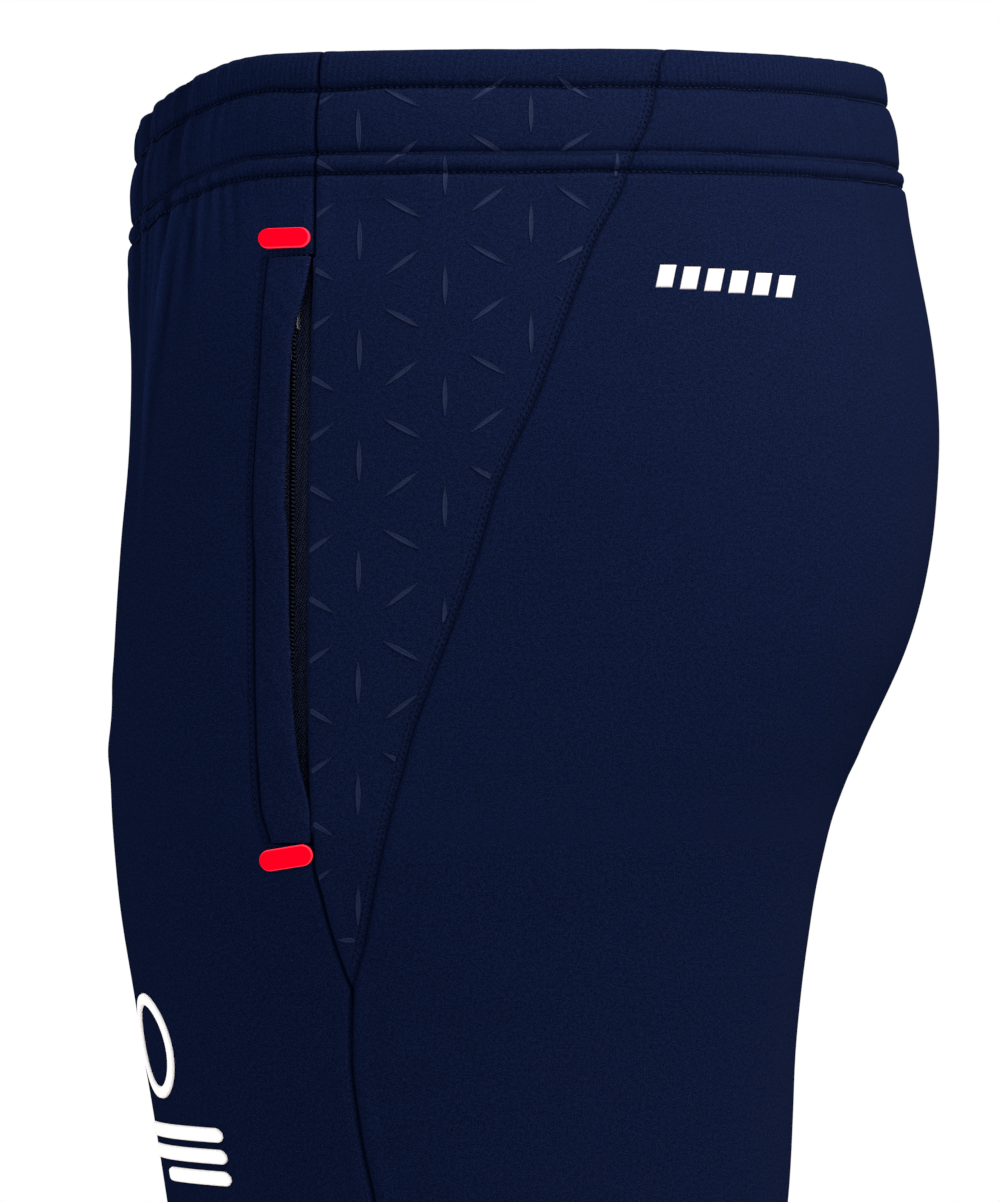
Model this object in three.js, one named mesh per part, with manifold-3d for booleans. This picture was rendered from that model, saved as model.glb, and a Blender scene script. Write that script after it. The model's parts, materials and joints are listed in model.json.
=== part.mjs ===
// Slim sports training trousers with side gores and zipped hip pockets.
// Millimetres. +Z up, -Y is the wearer's front, +X the wearer's left.
// Origin: centre of the waist opening, level with the top edge at the sides.
import * as THREE from 'three';
import Module from 'manifold-3d';
import { mergeVertices } from 'three/addons/utils/BufferGeometryUtils.js';

const wasm = await Module();
wasm.setup();

// ---------------------------------------------------------------- driving dimensions
const CLOTH = 1.0;              // cloth thickness
const BAND = 38.5;              // depth of the waist casing
const HEM_Z = 1020;             // side top edge to hem
const HEM_TURN = 25;            // turned-up hem
const FOLD_R = 2.1;             // outer radius of the folds at waist and hem
const SEAM_GAP = 0.25;          // each panel stops this far short of a seam line
const ELASTIC_T = 1.2;
const FRONT_DIP = 16;           // the top edge is lower at the centre front
const BACK_RISE = 1.7;          // and a little higher at the back
const POCKET_TOP = -61.6;       // pocket mouth, ends of the welt
const POCKET_BOT = -239.0;
const GORE_END = -279.5;
const ZIP_Y = -66.9;            // zip chain in plan
const ZIP_TOP = -66;
const ZIP_BOT = -229;
const ZIP_DEPTH = 7.0;          // tape below the cloth at the top of the zip
const ZIP_DEPTH_LOW = 9.0;      // and at its lower end
const SLIDER_AT = 13.5;          // slider centre below the top of the chain, closed
const PULL_LEN = 12;

// section of one leg at height z: centre x, half width, centre y, front y, back y, exponent
const SECTIONS = [
  [8, 0.0, 147.0, 6, -112.0, 119.5, 2.25],
  [0, 0.0, 150.0, 6, -113.5, 121.0, 2.25],
  [-30, 4.0, 155.0, 7, -116.0, 126.0, 2.3],
  [-60, 15.0, 152.5, 8, -117.0, 131.5, 2.35],
  [-90, 29.0, 145.0, 9, -116.0, 136.2, 2.4],
  [-118, 43.0, 135.5, 10, -116.2, 137.2, 2.4],
  [-150, 58.0, 123.0, 8, -119.0, 134.0, 2.4],
  [-180, 71.0, 111.0, 4, -120.6, 126.0, 2.4],
  [-210, 82.0, 100.0, 0, -121.2, 112.0, 2.35],
  [-225, 87.5, 94.0, -3, -121.0, 105.0, 2.3],
  [-238, 91.0, 90.3, -6, -120.2, 101.0, 2.25],
  [-260, 91.3, 87.5, -8, -118.0, 96.4, 2.2],
  [-300, 89.8, 84.2, -8, -111.5, 91.8, 2.15],
  [-352, 88.2, 81.0, -7, -103.4, 88.8, 2.12],
  [-430, 88.2, 75.5, -7, -93.2, 79.5, 2.1],
  [-510, 89.8, 70.2, -8, -85.0, 68.5, 2.1],
  [-590, 91.8, 66.0, -8, -77.0, 61.2, 2.1],
  [-670, 93.8, 63.0, -4, -68.0, 60.6, 2.1],
  [-760, 96.0, 59.0, 3, -56.0, 62.2, 2.1],
  [-860, 98.2, 54.2, 11, -43.5, 65.0, 2.1],
  [-950, 99.5, 51.2, 17, -34.5, 68.0, 2.1],
  [-1020, 100.0, 49.6, 20, -29.8, 70.2, 2.1],
  [-1040, 100.0, 49.3, 20, -29.0, 70.8, 2.1],
];
// seam lines on the side of the trousers, as y at height z
const SEAM_A = [[8, -54], [0, -54.4], [-38, -56], [-60, -56.3], [-150, -56.2], [-244, -56], [-254.3, -53.6],
  [-264.4, -51], [-272, -48.5], [-278.6, -46.1], [-283.5, -44.4], [-304, -44.7], [-316, -43.5], [-331.5, -41.1],
  [-347, -37.8], [-400, -30], [-470, -22], [-590, -14], [-700, -4], [-800, 7], [-900, 15], [-1040, 20]];
const SEAM_B = [[8, 53], [0, 49.8], [-3, 48.4], [-12, 47], [-24, 43.7], [-30.6, 40.6], [-37, 38.2], [-43.5, 36],
  [-56.7, 29], [-65.8, 25.4], [-77, 21.1], [-94, 14.9], [-106, 10.5], [-129.6, 0], [-155.4, -7.9], [-174.7, -14.7],
  [-192.4, -21.4], [-204, -25.6], [-219.4, -29.8], [-232, -33.2], [-248, -36.7], [-261.7, -39.2], [-272, -41.3],
  [-283.5, -44.4], [-304, -44.7], [-316, -43.5], [-331.5, -41.1],
  [-347, -37.8], [-400, -30], [-470, -22], [-590, -14], [-700, -4], [-800, 7], [-900, 15], [-1040, 20]];
const WELT_FRONT = [[-60, -70.6], [-70, -71.6], [-84, -72.6], [-100, -73.2], [-115, -74], [-135, -75], [-155, -74.4],
  [-175, -74.3], [-210, -73.4], [-228, -72.1], [-236, -69.8], [-240, -68.6]];
const WELT_EDGE = [[-60, -56.9], [-69, -58.6], [-76, -60.2], [-84, -62.6], [-92, -63.4], [-106, -64.1], [-120, -64.6],
  [-134, -65.1], [-148, -64.1], [-170, -63.6], [-183, -63], [-203, -61.9], [-216, -60.2], [-224, -58], [-230, -57], [-240, -56.8]];

// ---------------------------------------------------------------- helpers
const lerp = (a, b, t) => a + (b - a) * t;
const clamp = (x, a, b) => Math.min(b, Math.max(a, x));
const smooth = (a, b, x) => { const t = clamp((x - a) / (b - a), 0, 1); return t * t * (3 - 2 * t); };

// cubic through a table whose first column falls with each row
function cubic(table, z, col) {
  const n = table.length;
  if (z >= table[0][0]) return table[0][col];
  if (z <= table[n - 1][0]) return table[n - 1][col];
  let i = 0;
  while (z < table[i + 1][0]) i++;
  const slope = k => {
    const a = Math.max(0, k - 1), b = Math.min(n - 1, k + 1);
    return (table[b][col] - table[a][col]) / (table[b][0] - table[a][0]);
  };
  const z0 = table[i][0], z1 = table[i + 1][0], h = z1 - z0, t = (z - z0) / h;
  const t2 = t * t, t3 = t2 * t;
  return (2 * t3 - 3 * t2 + 1) * table[i][col] + (t3 - 2 * t2 + t) * h * slope(i)
    + (-2 * t3 + 3 * t2) * table[i + 1][col] + (t3 - t2) * h * slope(i + 1);
}
function section(z) {
  return { cx: cubic(SECTIONS, z, 1), ax: cubic(SECTIONS, z, 2), cy: cubic(SECTIONS, z, 3),
    yf: cubic(SECTIONS, z, 4), yb: cubic(SECTIONS, z, 5), n: cubic(SECTIONS, z, 6) };
}
// point of the left leg's surface at angle a (0 is the side, -90 deg the front, 180 deg the inseam)
function surf(a, z) {
  const s = section(z), c = Math.cos(a), d = Math.sin(a);
  const ay = d < 0 ? s.cy - s.yf : s.yb - s.cy;
  const r = Math.pow(Math.pow(Math.abs(c) / s.ax, s.n) + Math.pow(Math.abs(d) / ay, s.n), -1 / s.n);
  return new THREE.Vector3(s.cx + r * c, s.cy + r * d, z);
}
function normal(a, z) {
  const e = 0.004, f = 0.8;
  const u = surf(a + e, z).sub(surf(a - e, z));
  const v = surf(a, z + f).sub(surf(a, z - f));
  return u.cross(v).normalize();
}
const off = (a, z, d) => surf(a, z).addScaledVector(normal(a, z), d);
function bisect(f, lo, hi) {
  for (let i = 0; i < 44; i++) { const m = (lo + hi) / 2; if (f(m) < 0) lo = m; else hi = m; }
  return (lo + hi) / 2;
}
const angleAtY = (y, z) => bisect(a => surf(a, z).y - y, -Math.PI / 2, Math.PI / 2);
function frontAngle(z) {        // centre front above the crotch, inseam below it
  const s = section(z), lim = -Math.PI + 0.25 / s.ax;
  if (s.cx - s.ax > SEAM_GAP) return lim;
  return Math.max(lim, bisect(a => surf(a, z).x - SEAM_GAP, -Math.PI, -0.2));
}
function backAngle(z) {
  const s = section(z), lim = Math.PI - 0.25 / s.ax;
  if (s.cx - s.ax > SEAM_GAP) return lim;
  return Math.min(lim, -bisect(a => surf(-a, z).x - SEAM_GAP, -Math.PI, -0.2));
}
// height of a point v below the waist's top edge, on a line that passes y at that height
function heightOf(v, y) {
  const top = BACK_RISE * smooth(0, 60, y) - FRONT_DIP * Math.pow(clamp((-y - 78) / 36, 0, 1), 2);
  return -v + top * (1 - smooth(45, 120, v));
}

// closed shell from two grids of points, outer[k][j] and inner[k][j]
function shell(outer, inner, wrap = false) {
  const K = outer.length, J = outer[0].length, pos = [], idx = [];
  const O = (k, j) => k * J + (wrap ? j % J : j), I = (k, j) => K * J + O(k, j);
  for (const g of [outer, inner]) for (const row of g) for (const p of row) pos.push(p.x, p.y, p.z);
  const quad = (a, b, c, d) => idx.push(a, b, c, a, c, d);
  const JJ = wrap ? J : J - 1;
  for (let k = 0; k < K - 1; k++) for (let j = 0; j < JJ; j++) {
    quad(O(k, j), O(k + 1, j), O(k + 1, j + 1), O(k, j + 1));
    quad(I(k, j), I(k, j + 1), I(k + 1, j + 1), I(k + 1, j));
  }
  for (let j = 0; j < JJ; j++) {
    quad(O(0, j), O(0, j + 1), I(0, j + 1), I(0, j));
    quad(O(K - 1, j + 1), O(K - 1, j), I(K - 1, j), I(K - 1, j + 1));
  }
  if (!wrap) for (let k = 0; k < K - 1; k++) {
    quad(O(k + 1, 0), O(k, 0), I(k, 0), I(k + 1, 0));
    quad(O(k, J - 1), O(k + 1, J - 1), I(k + 1, J - 1), I(k, J - 1));
  }
  return orient(pos, idx);
}
function orient(pos, idx) {
  let v = 0;
  const P = i => new THREE.Vector3(pos[3 * i], pos[3 * i + 1], pos[3 * i + 2]);
  for (let i = 0; i < idx.length; i += 3) v += P(idx[i]).dot(P(idx[i + 1]).cross(P(idx[i + 2])));
  if (v < 0) for (let i = 0; i < idx.length; i += 3) [idx[i + 1], idx[i + 2]] = [idx[i + 2], idx[i + 1]];
  const g = new THREE.BufferGeometry();
  g.setAttribute('position', new THREE.Float32BufferAttribute(pos, 3));
  g.setIndex(idx);
  return g;
}
function mirror(g) {
  const h = g.index ? g.clone() : mergeVertices(g);
  const p = h.attributes.position;
  for (let i = 0; i < p.count; i++) p.setX(i, -p.getX(i));
  const ix = Array.from(h.index.array);
  for (let i = 0; i < ix.length; i += 3) [ix[i + 1], ix[i + 2]] = [ix[i + 2], ix[i + 1]];
  h.setIndex(ix);
  return h;
}
function solid(g) {
  g = g.clone();
  g.deleteAttribute('normal');
  g.deleteAttribute('uv');
  g = mergeVertices(g, 1e-4);
  return new wasm.Manifold(new wasm.Mesh({ numProp: 3,
    vertProperties: new Float32Array(g.attributes.position.array), triVerts: new Uint32Array(g.index.array) }));
}
function fromSolid(m) {
  const q = m.getMesh(), g = new THREE.BufferGeometry(), n = q.numProp, c = q.vertProperties.length / n;
  const pos = new Float32Array(3 * c);
  for (let i = 0; i < c; i++) for (let k = 0; k < 3; k++) pos[3 * i + k] = q.vertProperties[n * i + k];
  g.setAttribute('position', new THREE.BufferAttribute(pos, 3));
  g.setIndex(Array.from(q.triVerts));
  return g;
}
function several(list) {        // one indexed body from plain geometries
  const pos = [], idx = [];
  for (let g of list) {
    g = g.clone(); g.deleteAttribute('normal'); g.deleteAttribute('uv');
    g = mergeVertices(g, 1e-4);
    const base = pos.length / 3;
    pos.push(...g.attributes.position.array);
    for (const i of g.index.array) idx.push(base + i);
  }
  return orient(pos, idx);
}

// ---------------------------------------------------------------- materials
const mat = (color, roughness = 0.85, metalness = 0) => new THREE.MeshStandardMaterial({ color, roughness, metalness });
const NAVY = mat(0x141c2c), NAVY_SIDE = mat(0x172032), TRIM = mat(0x10161f), RED = mat(0xff0020, 0.45);
const TAPE = mat(0x121a2b), COIL = mat(0x1b2436, 0.5), METAL = mat(0x20262f, 0.35, 0.8), WHITE = mat(0xf2f3f5, 0.6);
const SILVER = mat(0xa7aab0, 0.4, 0.3), MESH = mat(0x0f1420, 0.95), ELASTIC = mat(0x1a1e27, 0.9), LABEL = mat(0xe9e9e6, 0.8);

const part = new THREE.Group();
function add(name, geometry, material) {
  const m = new THREE.Mesh(geometry, material);
  m.name = name;
  part.add(m);
}
function pair(name, geometry, material) {
  add(name + '_left', geometry, material);
  add(name + '_right', mirror(geometry), material);
}

// ---------------------------------------------------------------- cloth panels
// stations down the cloth: [v, offset] of its outer and its inner face
const fold = (base, dir, deg) => {
  const a = deg * Math.PI / 180, R = FOLD_R, r = FOLD_R - CLOTH;
  return [base + dir * R * Math.sin(a), -FOLD_R + R * Math.cos(a), base + dir * r * Math.sin(a), -FOLD_R + r * Math.cos(a)];
};
const flat = v => [v, 0, v, -CLOTH];
const back = v => [v, -2 * FOLD_R, v, -2 * FOLD_R + CLOTH];
const WAIST = [back(BAND), back(25), back(12.9), ...[180, 120, 60, 0].map(d => fold(FOLD_R, -1, d))];
const HEM = [...[0, 60, 120, 180].map(d => fold(HEM_Z - FOLD_R, 1, d)), back(HEM_Z - HEM_TURN)];

function panel(lo, hi, cols, stations) {
  const outer = [], inner = [];
  const at = (v, o, t) => {
    const a0 = lerp(lo(-v), hi(-v), t), z = heightOf(v, surf(a0, -v).y);
    return off(lerp(lo(z), hi(z), t), z, o);
  };
  for (const [vo, oo, vi, oi] of stations) {
    outer.push(cols.map(t => at(vo, oo, t)));
    inner.push(cols.map(t => at(vi, oi, t)));
  }
  return shell(outer, inner);
}
const even = n => Array.from({ length: n + 1 }, (_, i) => i / n);
const seamA = z => cubic(SEAM_A, z, 1), seamB = z => cubic(SEAM_B, z, 1);
const inPocket = z => z < POCKET_TOP && z > POCKET_BOT;
const frontEdge = z => angleAtY(inPocket(z) ? cubic(WELT_FRONT, z, 1) - SEAM_GAP : seamA(z) - SEAM_GAP, z);
const goreFront = z => angleAtY(seamA(z) + SEAM_GAP, z), goreBack = z => angleAtY(seamB(z) - SEAM_GAP, z);
const backEdge = z => angleAtY(seamB(z) + SEAM_GAP, z);

const TRUNK = [12.9, 25, BAND, 50, 61.3, 61.9, 80, 97, 120, 145, 170, 190, 206, 218, 227, 234, 238.7, 239.3, 252, 265, 273, -GORE_END];
const LEG = [287, 316, 352, 400, 460, 525, 590, 655, 730, 810, 890, 950, HEM_Z - HEM_TURN];
const legStations = [...WAIST, ...[...TRUNK, ...LEG].map(flat), ...HEM];
const goreStations = [...WAIST, ...TRUNK.map(flat)];
let front = panel(frontAngle, frontEdge, even(9), legStations);
pair('back_panel', panel(backEdge, backAngle, even(9), legStations), NAVY);
pair('side_gore', panel(goreFront, goreBack, even(4), goreStations), NAVY_SIDE);

// ---------------------------------------------------------------- drawcord eyelets in the casing, centre front
const EYELET_X = 16, EYELET_V = 22;
{
  const a = bisect(t => surf(t, -EYELET_V).x - EYELET_X, -Math.PI, -0.2);
  const z = heightOf(EYELET_V, surf(a, -EYELET_V).y);
  const n = normal(a, z), c = off(a, z, -2 * FOLD_R);
  const side = new THREE.Vector3(0, 0, 1).cross(n).normalize();
  const frame = new THREE.Matrix4().makeBasis(side, n, side.clone().cross(n)).setPosition(c);
  const hole = new THREE.CylinderGeometry(3.1, 3.1, 3.2, 14).applyMatrix4(frame);
  front = fromSolid(solid(front).subtract(solid(hole)));
  const ring = [[2.1, 0.9], [2.8, 0.9], [2.8, -0.35], [5.2, -0.35], [5.2, -0.75], [4.9, -1.1], [2.5, -1.1], [2.1, -0.75], [2.1, 0.9]]
    .map(([r, y]) => new THREE.Vector2(r, y));
  pair('drawcord_eyelet', several([new THREE.LatheGeometry(ring, 14).applyMatrix4(frame)]), METAL);
}
pair('front_panel', front, NAVY);

// ---------------------------------------------------------------- elastic in the waist casing and in the hems
{
  const rows = [4.6, 12.9, 25, 36.6], outer = [], inner = [];
  const spans = [[frontAngle, frontEdge, 9], [goreFront, goreBack, 4], [backEdge, backAngle, 9]];
  for (const v of rows) {
    const o = [], i = [];
    for (const [lo, hi, n] of spans) for (const t of even(n)) {
      const a0 = lerp(lo(-v), hi(-v), t), z = heightOf(v, surf(a0, -v).y), a = lerp(lo(z), hi(z), t);
      o.push(off(a, z, -1.5));
      i.push(off(a, z, -1.5 - ELASTIC_T));
    }
    const flip = list => list.slice().reverse().map(p => new THREE.Vector3(-p.x, p.y, p.z));
    outer.push([...o, ...flip(o)]);
    inner.push([...i, ...flip(i)]);
  }
  add('waist_elastic', shell(outer, inner, true), ELASTIC);
}
{
  const outer = [], inner = [];
  for (const v of [HEM_Z - 21, HEM_Z - 12, HEM_Z - 4.6]) {
    const o = [], i = [];
    for (const [lo, hi] of [[frontAngle, frontEdge], [backEdge, backAngle]]) for (const t of even(9)) {
      const a = lerp(lo(-v), hi(-v), t);
      o.push(off(a, -v, -1.5));
      i.push(off(a, -v, -1.5 - ELASTIC_T));
    }
    outer.push(o);
    inner.push(i);
  }
  pair('hem_elastic', shell(outer, inner, true), ELASTIC);
}

// ---------------------------------------------------------------- pocket welt, a doubled strip along the mouth
{
  const outer = [], inner = [];
  for (const z of [POCKET_TOP - 0.4, -69, -78, -88, -100, -115, -135, -155, -175, -195, -210, -220, -228, -234, POCKET_BOT + 0.5]) {
    const y0 = cubic(WELT_FRONT, z, 1) + SEAM_GAP, y1 = Math.min(cubic(WELT_EDGE, z, 1), seamA(z) - SEAM_GAP);
    const cols = [0, 0.33, 0.67, 1].map(t => angleAtY(lerp(y0, y1, t), z));
    outer.push(cols.map(a => off(a, z, 0.1)));
    inner.push(cols.map(a => off(a, z, -1.6)));
  }
  pair('pocket_welt', shell(outer, inner), NAVY_SIDE);
}

// ---------------------------------------------------------------- zip: straight chain under the mouth
const zipTop = off(angleAtY(ZIP_Y, ZIP_TOP), ZIP_TOP, -ZIP_DEPTH);
const zipBot = off(angleAtY(ZIP_Y, ZIP_BOT), ZIP_BOT, -ZIP_DEPTH_LOW);
const zipDir = zipBot.clone().sub(zipTop).normalize();
const zipLen = zipBot.distanceTo(zipTop);
const midN = normal(angleAtY(ZIP_Y, -147), -147);
const zipW = midN.clone().cross(zipDir).normalize();      // towards the back
if (zipW.y < 0) zipW.negate();
const zipN = zipW.clone().cross(zipDir).normalize();      // out of the pocket
if (zipN.x < 0) zipN.negate();
// box in the zip's own axes: w across, h out, s down from the top of the chain
function zbox(w0, w1, h0, h1, s0, s1) {
  const pos = [], c = (w, h, s) => pos.push(...zipTop.clone().addScaledVector(zipW, w).addScaledVector(zipN, h).addScaledVector(zipDir, s).toArray());
  for (const s of [s0, s1]) { c(w0, h0, s); c(w1, h0, s); c(w1, h1, s); c(w0, h1, s); }
  return orient(pos, [0, 1, 2, 0, 2, 3, 4, 6, 5, 4, 7, 6, 0, 5, 1, 0, 4, 5, 1, 6, 2, 1, 5, 6, 2, 7, 3, 2, 6, 7, 3, 4, 0, 3, 7, 4]);
}
pair('zip_tape_front', zbox(-12, -0.7, -0.3, 0.3, -2.5, zipLen + 2.5), TAPE);
pair('zip_tape_rear', zbox(0.7, 12, -0.3, 0.3, -2.5, zipLen + 2.5), TAPE);
pair('zip_coil_front', zbox(-2.5, -0.7, 0.5, 1.9, 2.2, zipLen - 2.2), COIL);
pair('zip_coil_rear', zbox(0.7, 2.5, 0.5, 1.9, 2.2, zipLen - 2.2), COIL);
pair('zip_top_stop', zbox(-2.5, 2.5, 0.5, 2.1, -0.4, 1.8), METAL);
pair('zip_bottom_stop', zbox(-2.7, 2.7, 0.5, 2.2, zipLen - 1.8, zipLen + 0.6), METAL);
const S = SLIDER_AT, PIV = S + 0.9, PIVH = 3.4;
{
  const L = 4.4;
  let m = solid(zbox(-3.4, 3.4, 2.2, 2.9, S - L, S + L));
  for (const b of [zbox(-3.4, 3.4, -1.3, -0.6, S - L, S + L), zbox(-0.4, 0.4, -0.7, 2.3, S - L, S - 0.6),
    zbox(-3.4, -2.85, 0.6, 2.3, S - L, S + L), zbox(2.85, 3.4, 0.6, 2.3, S - L, S + L),
    zbox(-0.6, 0.6, 2.8, 4.6, S - 2.3, S - 1.5), zbox(-0.6, 0.6, 2.8, 4.6, S + 1.9, S + 2.7), zbox(-0.6, 0.6, 4.0, 4.6, S - 2.3, S + 2.7)])
    m = m.add(solid(b));
  pair('zip_slider', fromSolid(m), METAL);
}
{
  let m = solid(zbox(-1.9, 1.9, PIVH - 0.25, PIVH + 0.25, PIV - 0.25, PIV + 0.25));
  for (const b of [zbox(-1.9, -1.1, PIVH - 0.25, PIVH + 0.25, PIV - 0.25, PIV + 3.2), zbox(1.1, 1.9, PIVH - 0.25, PIVH + 0.25, PIV - 0.25, PIV + 3.2),
    zbox(-1.9, 1.9, PIVH - 0.25, PIVH + 0.25, PIV + 3.0, PIV + PULL_LEN)])
    m = m.add(solid(b));
  pair('zip_pull', fromSolid(m), METAL);
}

// ---------------------------------------------------------------- pocket bag: two layers of mesh cloth behind the mouth
{
  const layer = (y0, d0, d1, zs) => {
    const outer = [], inner = [];
    for (const z of zs) {
      const a0 = angleAtY(y0, z), a1 = -1.32;
      const o = [], i = [];
      for (const t of even(6)) {
        const a = lerp(a0, a1, t), d = lerp(d0(z), d1, smooth(0, 1, t));
        o.push(off(a, z, -d));
        i.push(off(a, z, -d - 0.6));
      }
      outer.push(o); inner.push(i);
    }
    return shell(outer, inner);
  };
  const zs = [-56, -75, -100, -130, -160, -190, -215, -240, -262, -280];
  const depth = z => 14.6 + 5.2 * (1 - Math.pow((z + 147) / 140, 2));
  pair('pocket_bag_outer', layer(-78, () => 4.4, 4.4, zs), MESH);
  pair('pocket_bag_inner', layer(-44, depth, 6.8, zs), MESH);
}

// ---------------------------------------------------------------- flat tabs over the ends of the pocket mouth
function tab(y, z, len, wid, thick, turn) {
  const a = angleAtY(y, z), n = normal(a, z), c = surf(a, z);
  const u = new THREE.Vector3(0, 0, 1).cross(n).normalize(), v = n.clone().cross(u).normalize();
  const r = wid / 2, d = (len - wid) / 2, sh = new THREE.Shape();
  sh.absarc(d, 0, r, -Math.PI / 2, Math.PI / 2, false);
  sh.absarc(-d, 0, r, Math.PI / 2, 1.5 * Math.PI, false);
  sh.closePath();
  const g = new THREE.ExtrudeGeometry(sh, { depth: thick, bevelEnabled: false, curveSegments: 8 });
  g.rotateZ(turn);
  g.translate(0, 0, 0.55);
  g.applyMatrix4(new THREE.Matrix4().makeBasis(u, v, n).setPosition(c));
  return several([g]);
}
pair('pocket_tab_top', tab(-65.3, -56.4, 18.6, 6.1, 1.1, 0), RED);
pair('pocket_tab_bottom', tab(-64.3, -243, 18.8, 6.4, 1.1, 0.17), RED);

// ---------------------------------------------------------------- raised decoration and print, on the wearer's left only
function patch(loop, d0, d1) {          // closed plan outline (angle, z) laid on the cloth
  const n = loop.length, pos = [], idx = [];
  for (const d of [d1, d0]) for (const [a, z] of loop) pos.push(...off(a, z, d).toArray());
  const ctr = loop.reduce((s, p) => [s[0] + p[0] / n, s[1] + p[1] / n], [0, 0]);
  for (const d of [d1, d0]) pos.push(...off(ctr[0], ctr[1], d).toArray());
  for (let i = 0; i < n; i++) {
    const j = (i + 1) % n;
    idx.push(i, j, 2 * n, n + j, n + i, 2 * n + 1, i, n + i, j, j, n + i, n + j);
  }
  return orient(pos, idx);
}
const xOf = (x, z) => bisect(a => surf(a, z).x - x, -Math.PI, 0.0);
const EMBLEM_X = 118, EMBLEM_Z = -302, EMBLEM_R = 16, EMBLEM_W = 3.6, EMBLEM_BAR = 4.4;
{
  const N = 24, outer = [[], []], inner = [[], []];
  for (let i = 0; i < N; i++) {
    const t = 2 * Math.PI * i / N;
    for (const [k, r] of [[0, EMBLEM_R], [1, EMBLEM_R - EMBLEM_W]]) {
      const z = EMBLEM_Z + r * Math.sin(t), a = xOf(EMBLEM_X + r * Math.cos(t) * 0.8, z);
      outer[k].push(off(a, z, 1.3));
      inner[k].push(off(a, z, 0.5));
    }
  }
  add('thigh_emblem_ring', shell(outer, inner, true), WHITE);
  for (const [name, dz, x0, w] of [['upper', -26, 122, 44], ['middle', -32.6, 122, 44], ['lower', -39.2, 129, 30]]) {
    const outer = [], inner = [];
    for (const r of [-1, 1]) {
      const o = [], i = [];
      for (const t of [0, 0.03, 0.15, 0.29, 0.43, 0.57, 0.71, 0.85, 0.97, 1]) {
        const z = EMBLEM_Z + dz + r * EMBLEM_BAR / 2 * (t % 1 ? 1 : 0.6), a = xOf(x0 + (t - 0.5) * w, z);
        o.push(off(a, z, 1.3));
        i.push(off(a, z, 0.5));
      }
      outer.push(o);
      inner.push(i);
    }
    add('thigh_emblem_bar_' + name, shell(outer, inner), WHITE);
  }
  for (let k = 0; k < 6; k++) {
    const y0 = 48 + 7.3 * k, loop = [];
    for (const [dy, dz] of [[0, -3.4], [4.9, -3.4], [5.6, 0], [6.3, 3.4], [1.4, 3.4], [0.7, 0]]) {
      const z = -68.3 + dz - 0.07 * (y0 - 48);
      loop.push([angleAtY(y0 + dy - 1.2, z), z]);
    }
    add('hip_print_dash_' + (k + 1), patch(loop, 0.4, 0.75), SILVER);
  }
}

// ---------------------------------------------------------------- blank sewn labels inside
{
  const g = new THREE.BoxGeometry(32, 0.5, 18);
  g.translate(0, section(-14).yb - 2 * FOLD_R - 2.6, -16);
  add('size_label', g, LABEL);
  const h = new THREE.BoxGeometry(0.5, 26, 46);
  const p = surf(angleAtY(22, -78), -78);
  h.translate(p.x - 6.5, 22, -100);
  add('care_label', h, LABEL);
}

export default part;
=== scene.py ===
# Looks of the training trousers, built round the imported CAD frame. Lengths inside the
# builders are millimetres and are turned into metres when a mesh is made.
import json
import math

import bpy
import bmesh
import numpy as np
from mathutils import Matrix, Vector


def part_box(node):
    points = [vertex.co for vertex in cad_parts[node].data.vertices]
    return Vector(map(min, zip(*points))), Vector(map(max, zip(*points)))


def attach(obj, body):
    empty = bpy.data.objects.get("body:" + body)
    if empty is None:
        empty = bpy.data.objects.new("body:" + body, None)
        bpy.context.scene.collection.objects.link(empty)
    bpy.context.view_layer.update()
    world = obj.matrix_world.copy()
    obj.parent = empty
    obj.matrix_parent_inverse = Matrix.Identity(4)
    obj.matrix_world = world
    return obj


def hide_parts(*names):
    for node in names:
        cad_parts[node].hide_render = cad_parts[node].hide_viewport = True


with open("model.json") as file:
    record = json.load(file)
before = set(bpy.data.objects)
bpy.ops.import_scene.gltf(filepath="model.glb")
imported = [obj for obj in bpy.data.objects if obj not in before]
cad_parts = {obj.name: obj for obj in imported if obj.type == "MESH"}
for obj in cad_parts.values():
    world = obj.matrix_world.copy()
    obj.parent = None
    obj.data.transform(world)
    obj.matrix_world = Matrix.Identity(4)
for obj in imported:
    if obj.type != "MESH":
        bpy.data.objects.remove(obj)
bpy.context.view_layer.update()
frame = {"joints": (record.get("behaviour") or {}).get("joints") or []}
PI = math.pi

# ------------------------------------------------------------------ the cut, as in the CAD
CLOTH, FOLD_R, BAND, HEM_Z, HEM_TURN = 0.8, 2.1, 38.5, 1020.0, 25.0
FRONT_DIP, BACK_RISE = 16.0, 1.7
POCKET_TOP, POCKET_BOT, GORE_END = -61.6, -239.0, -282.5
ROWS = (12.1, 32.2, 37.9)

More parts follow.
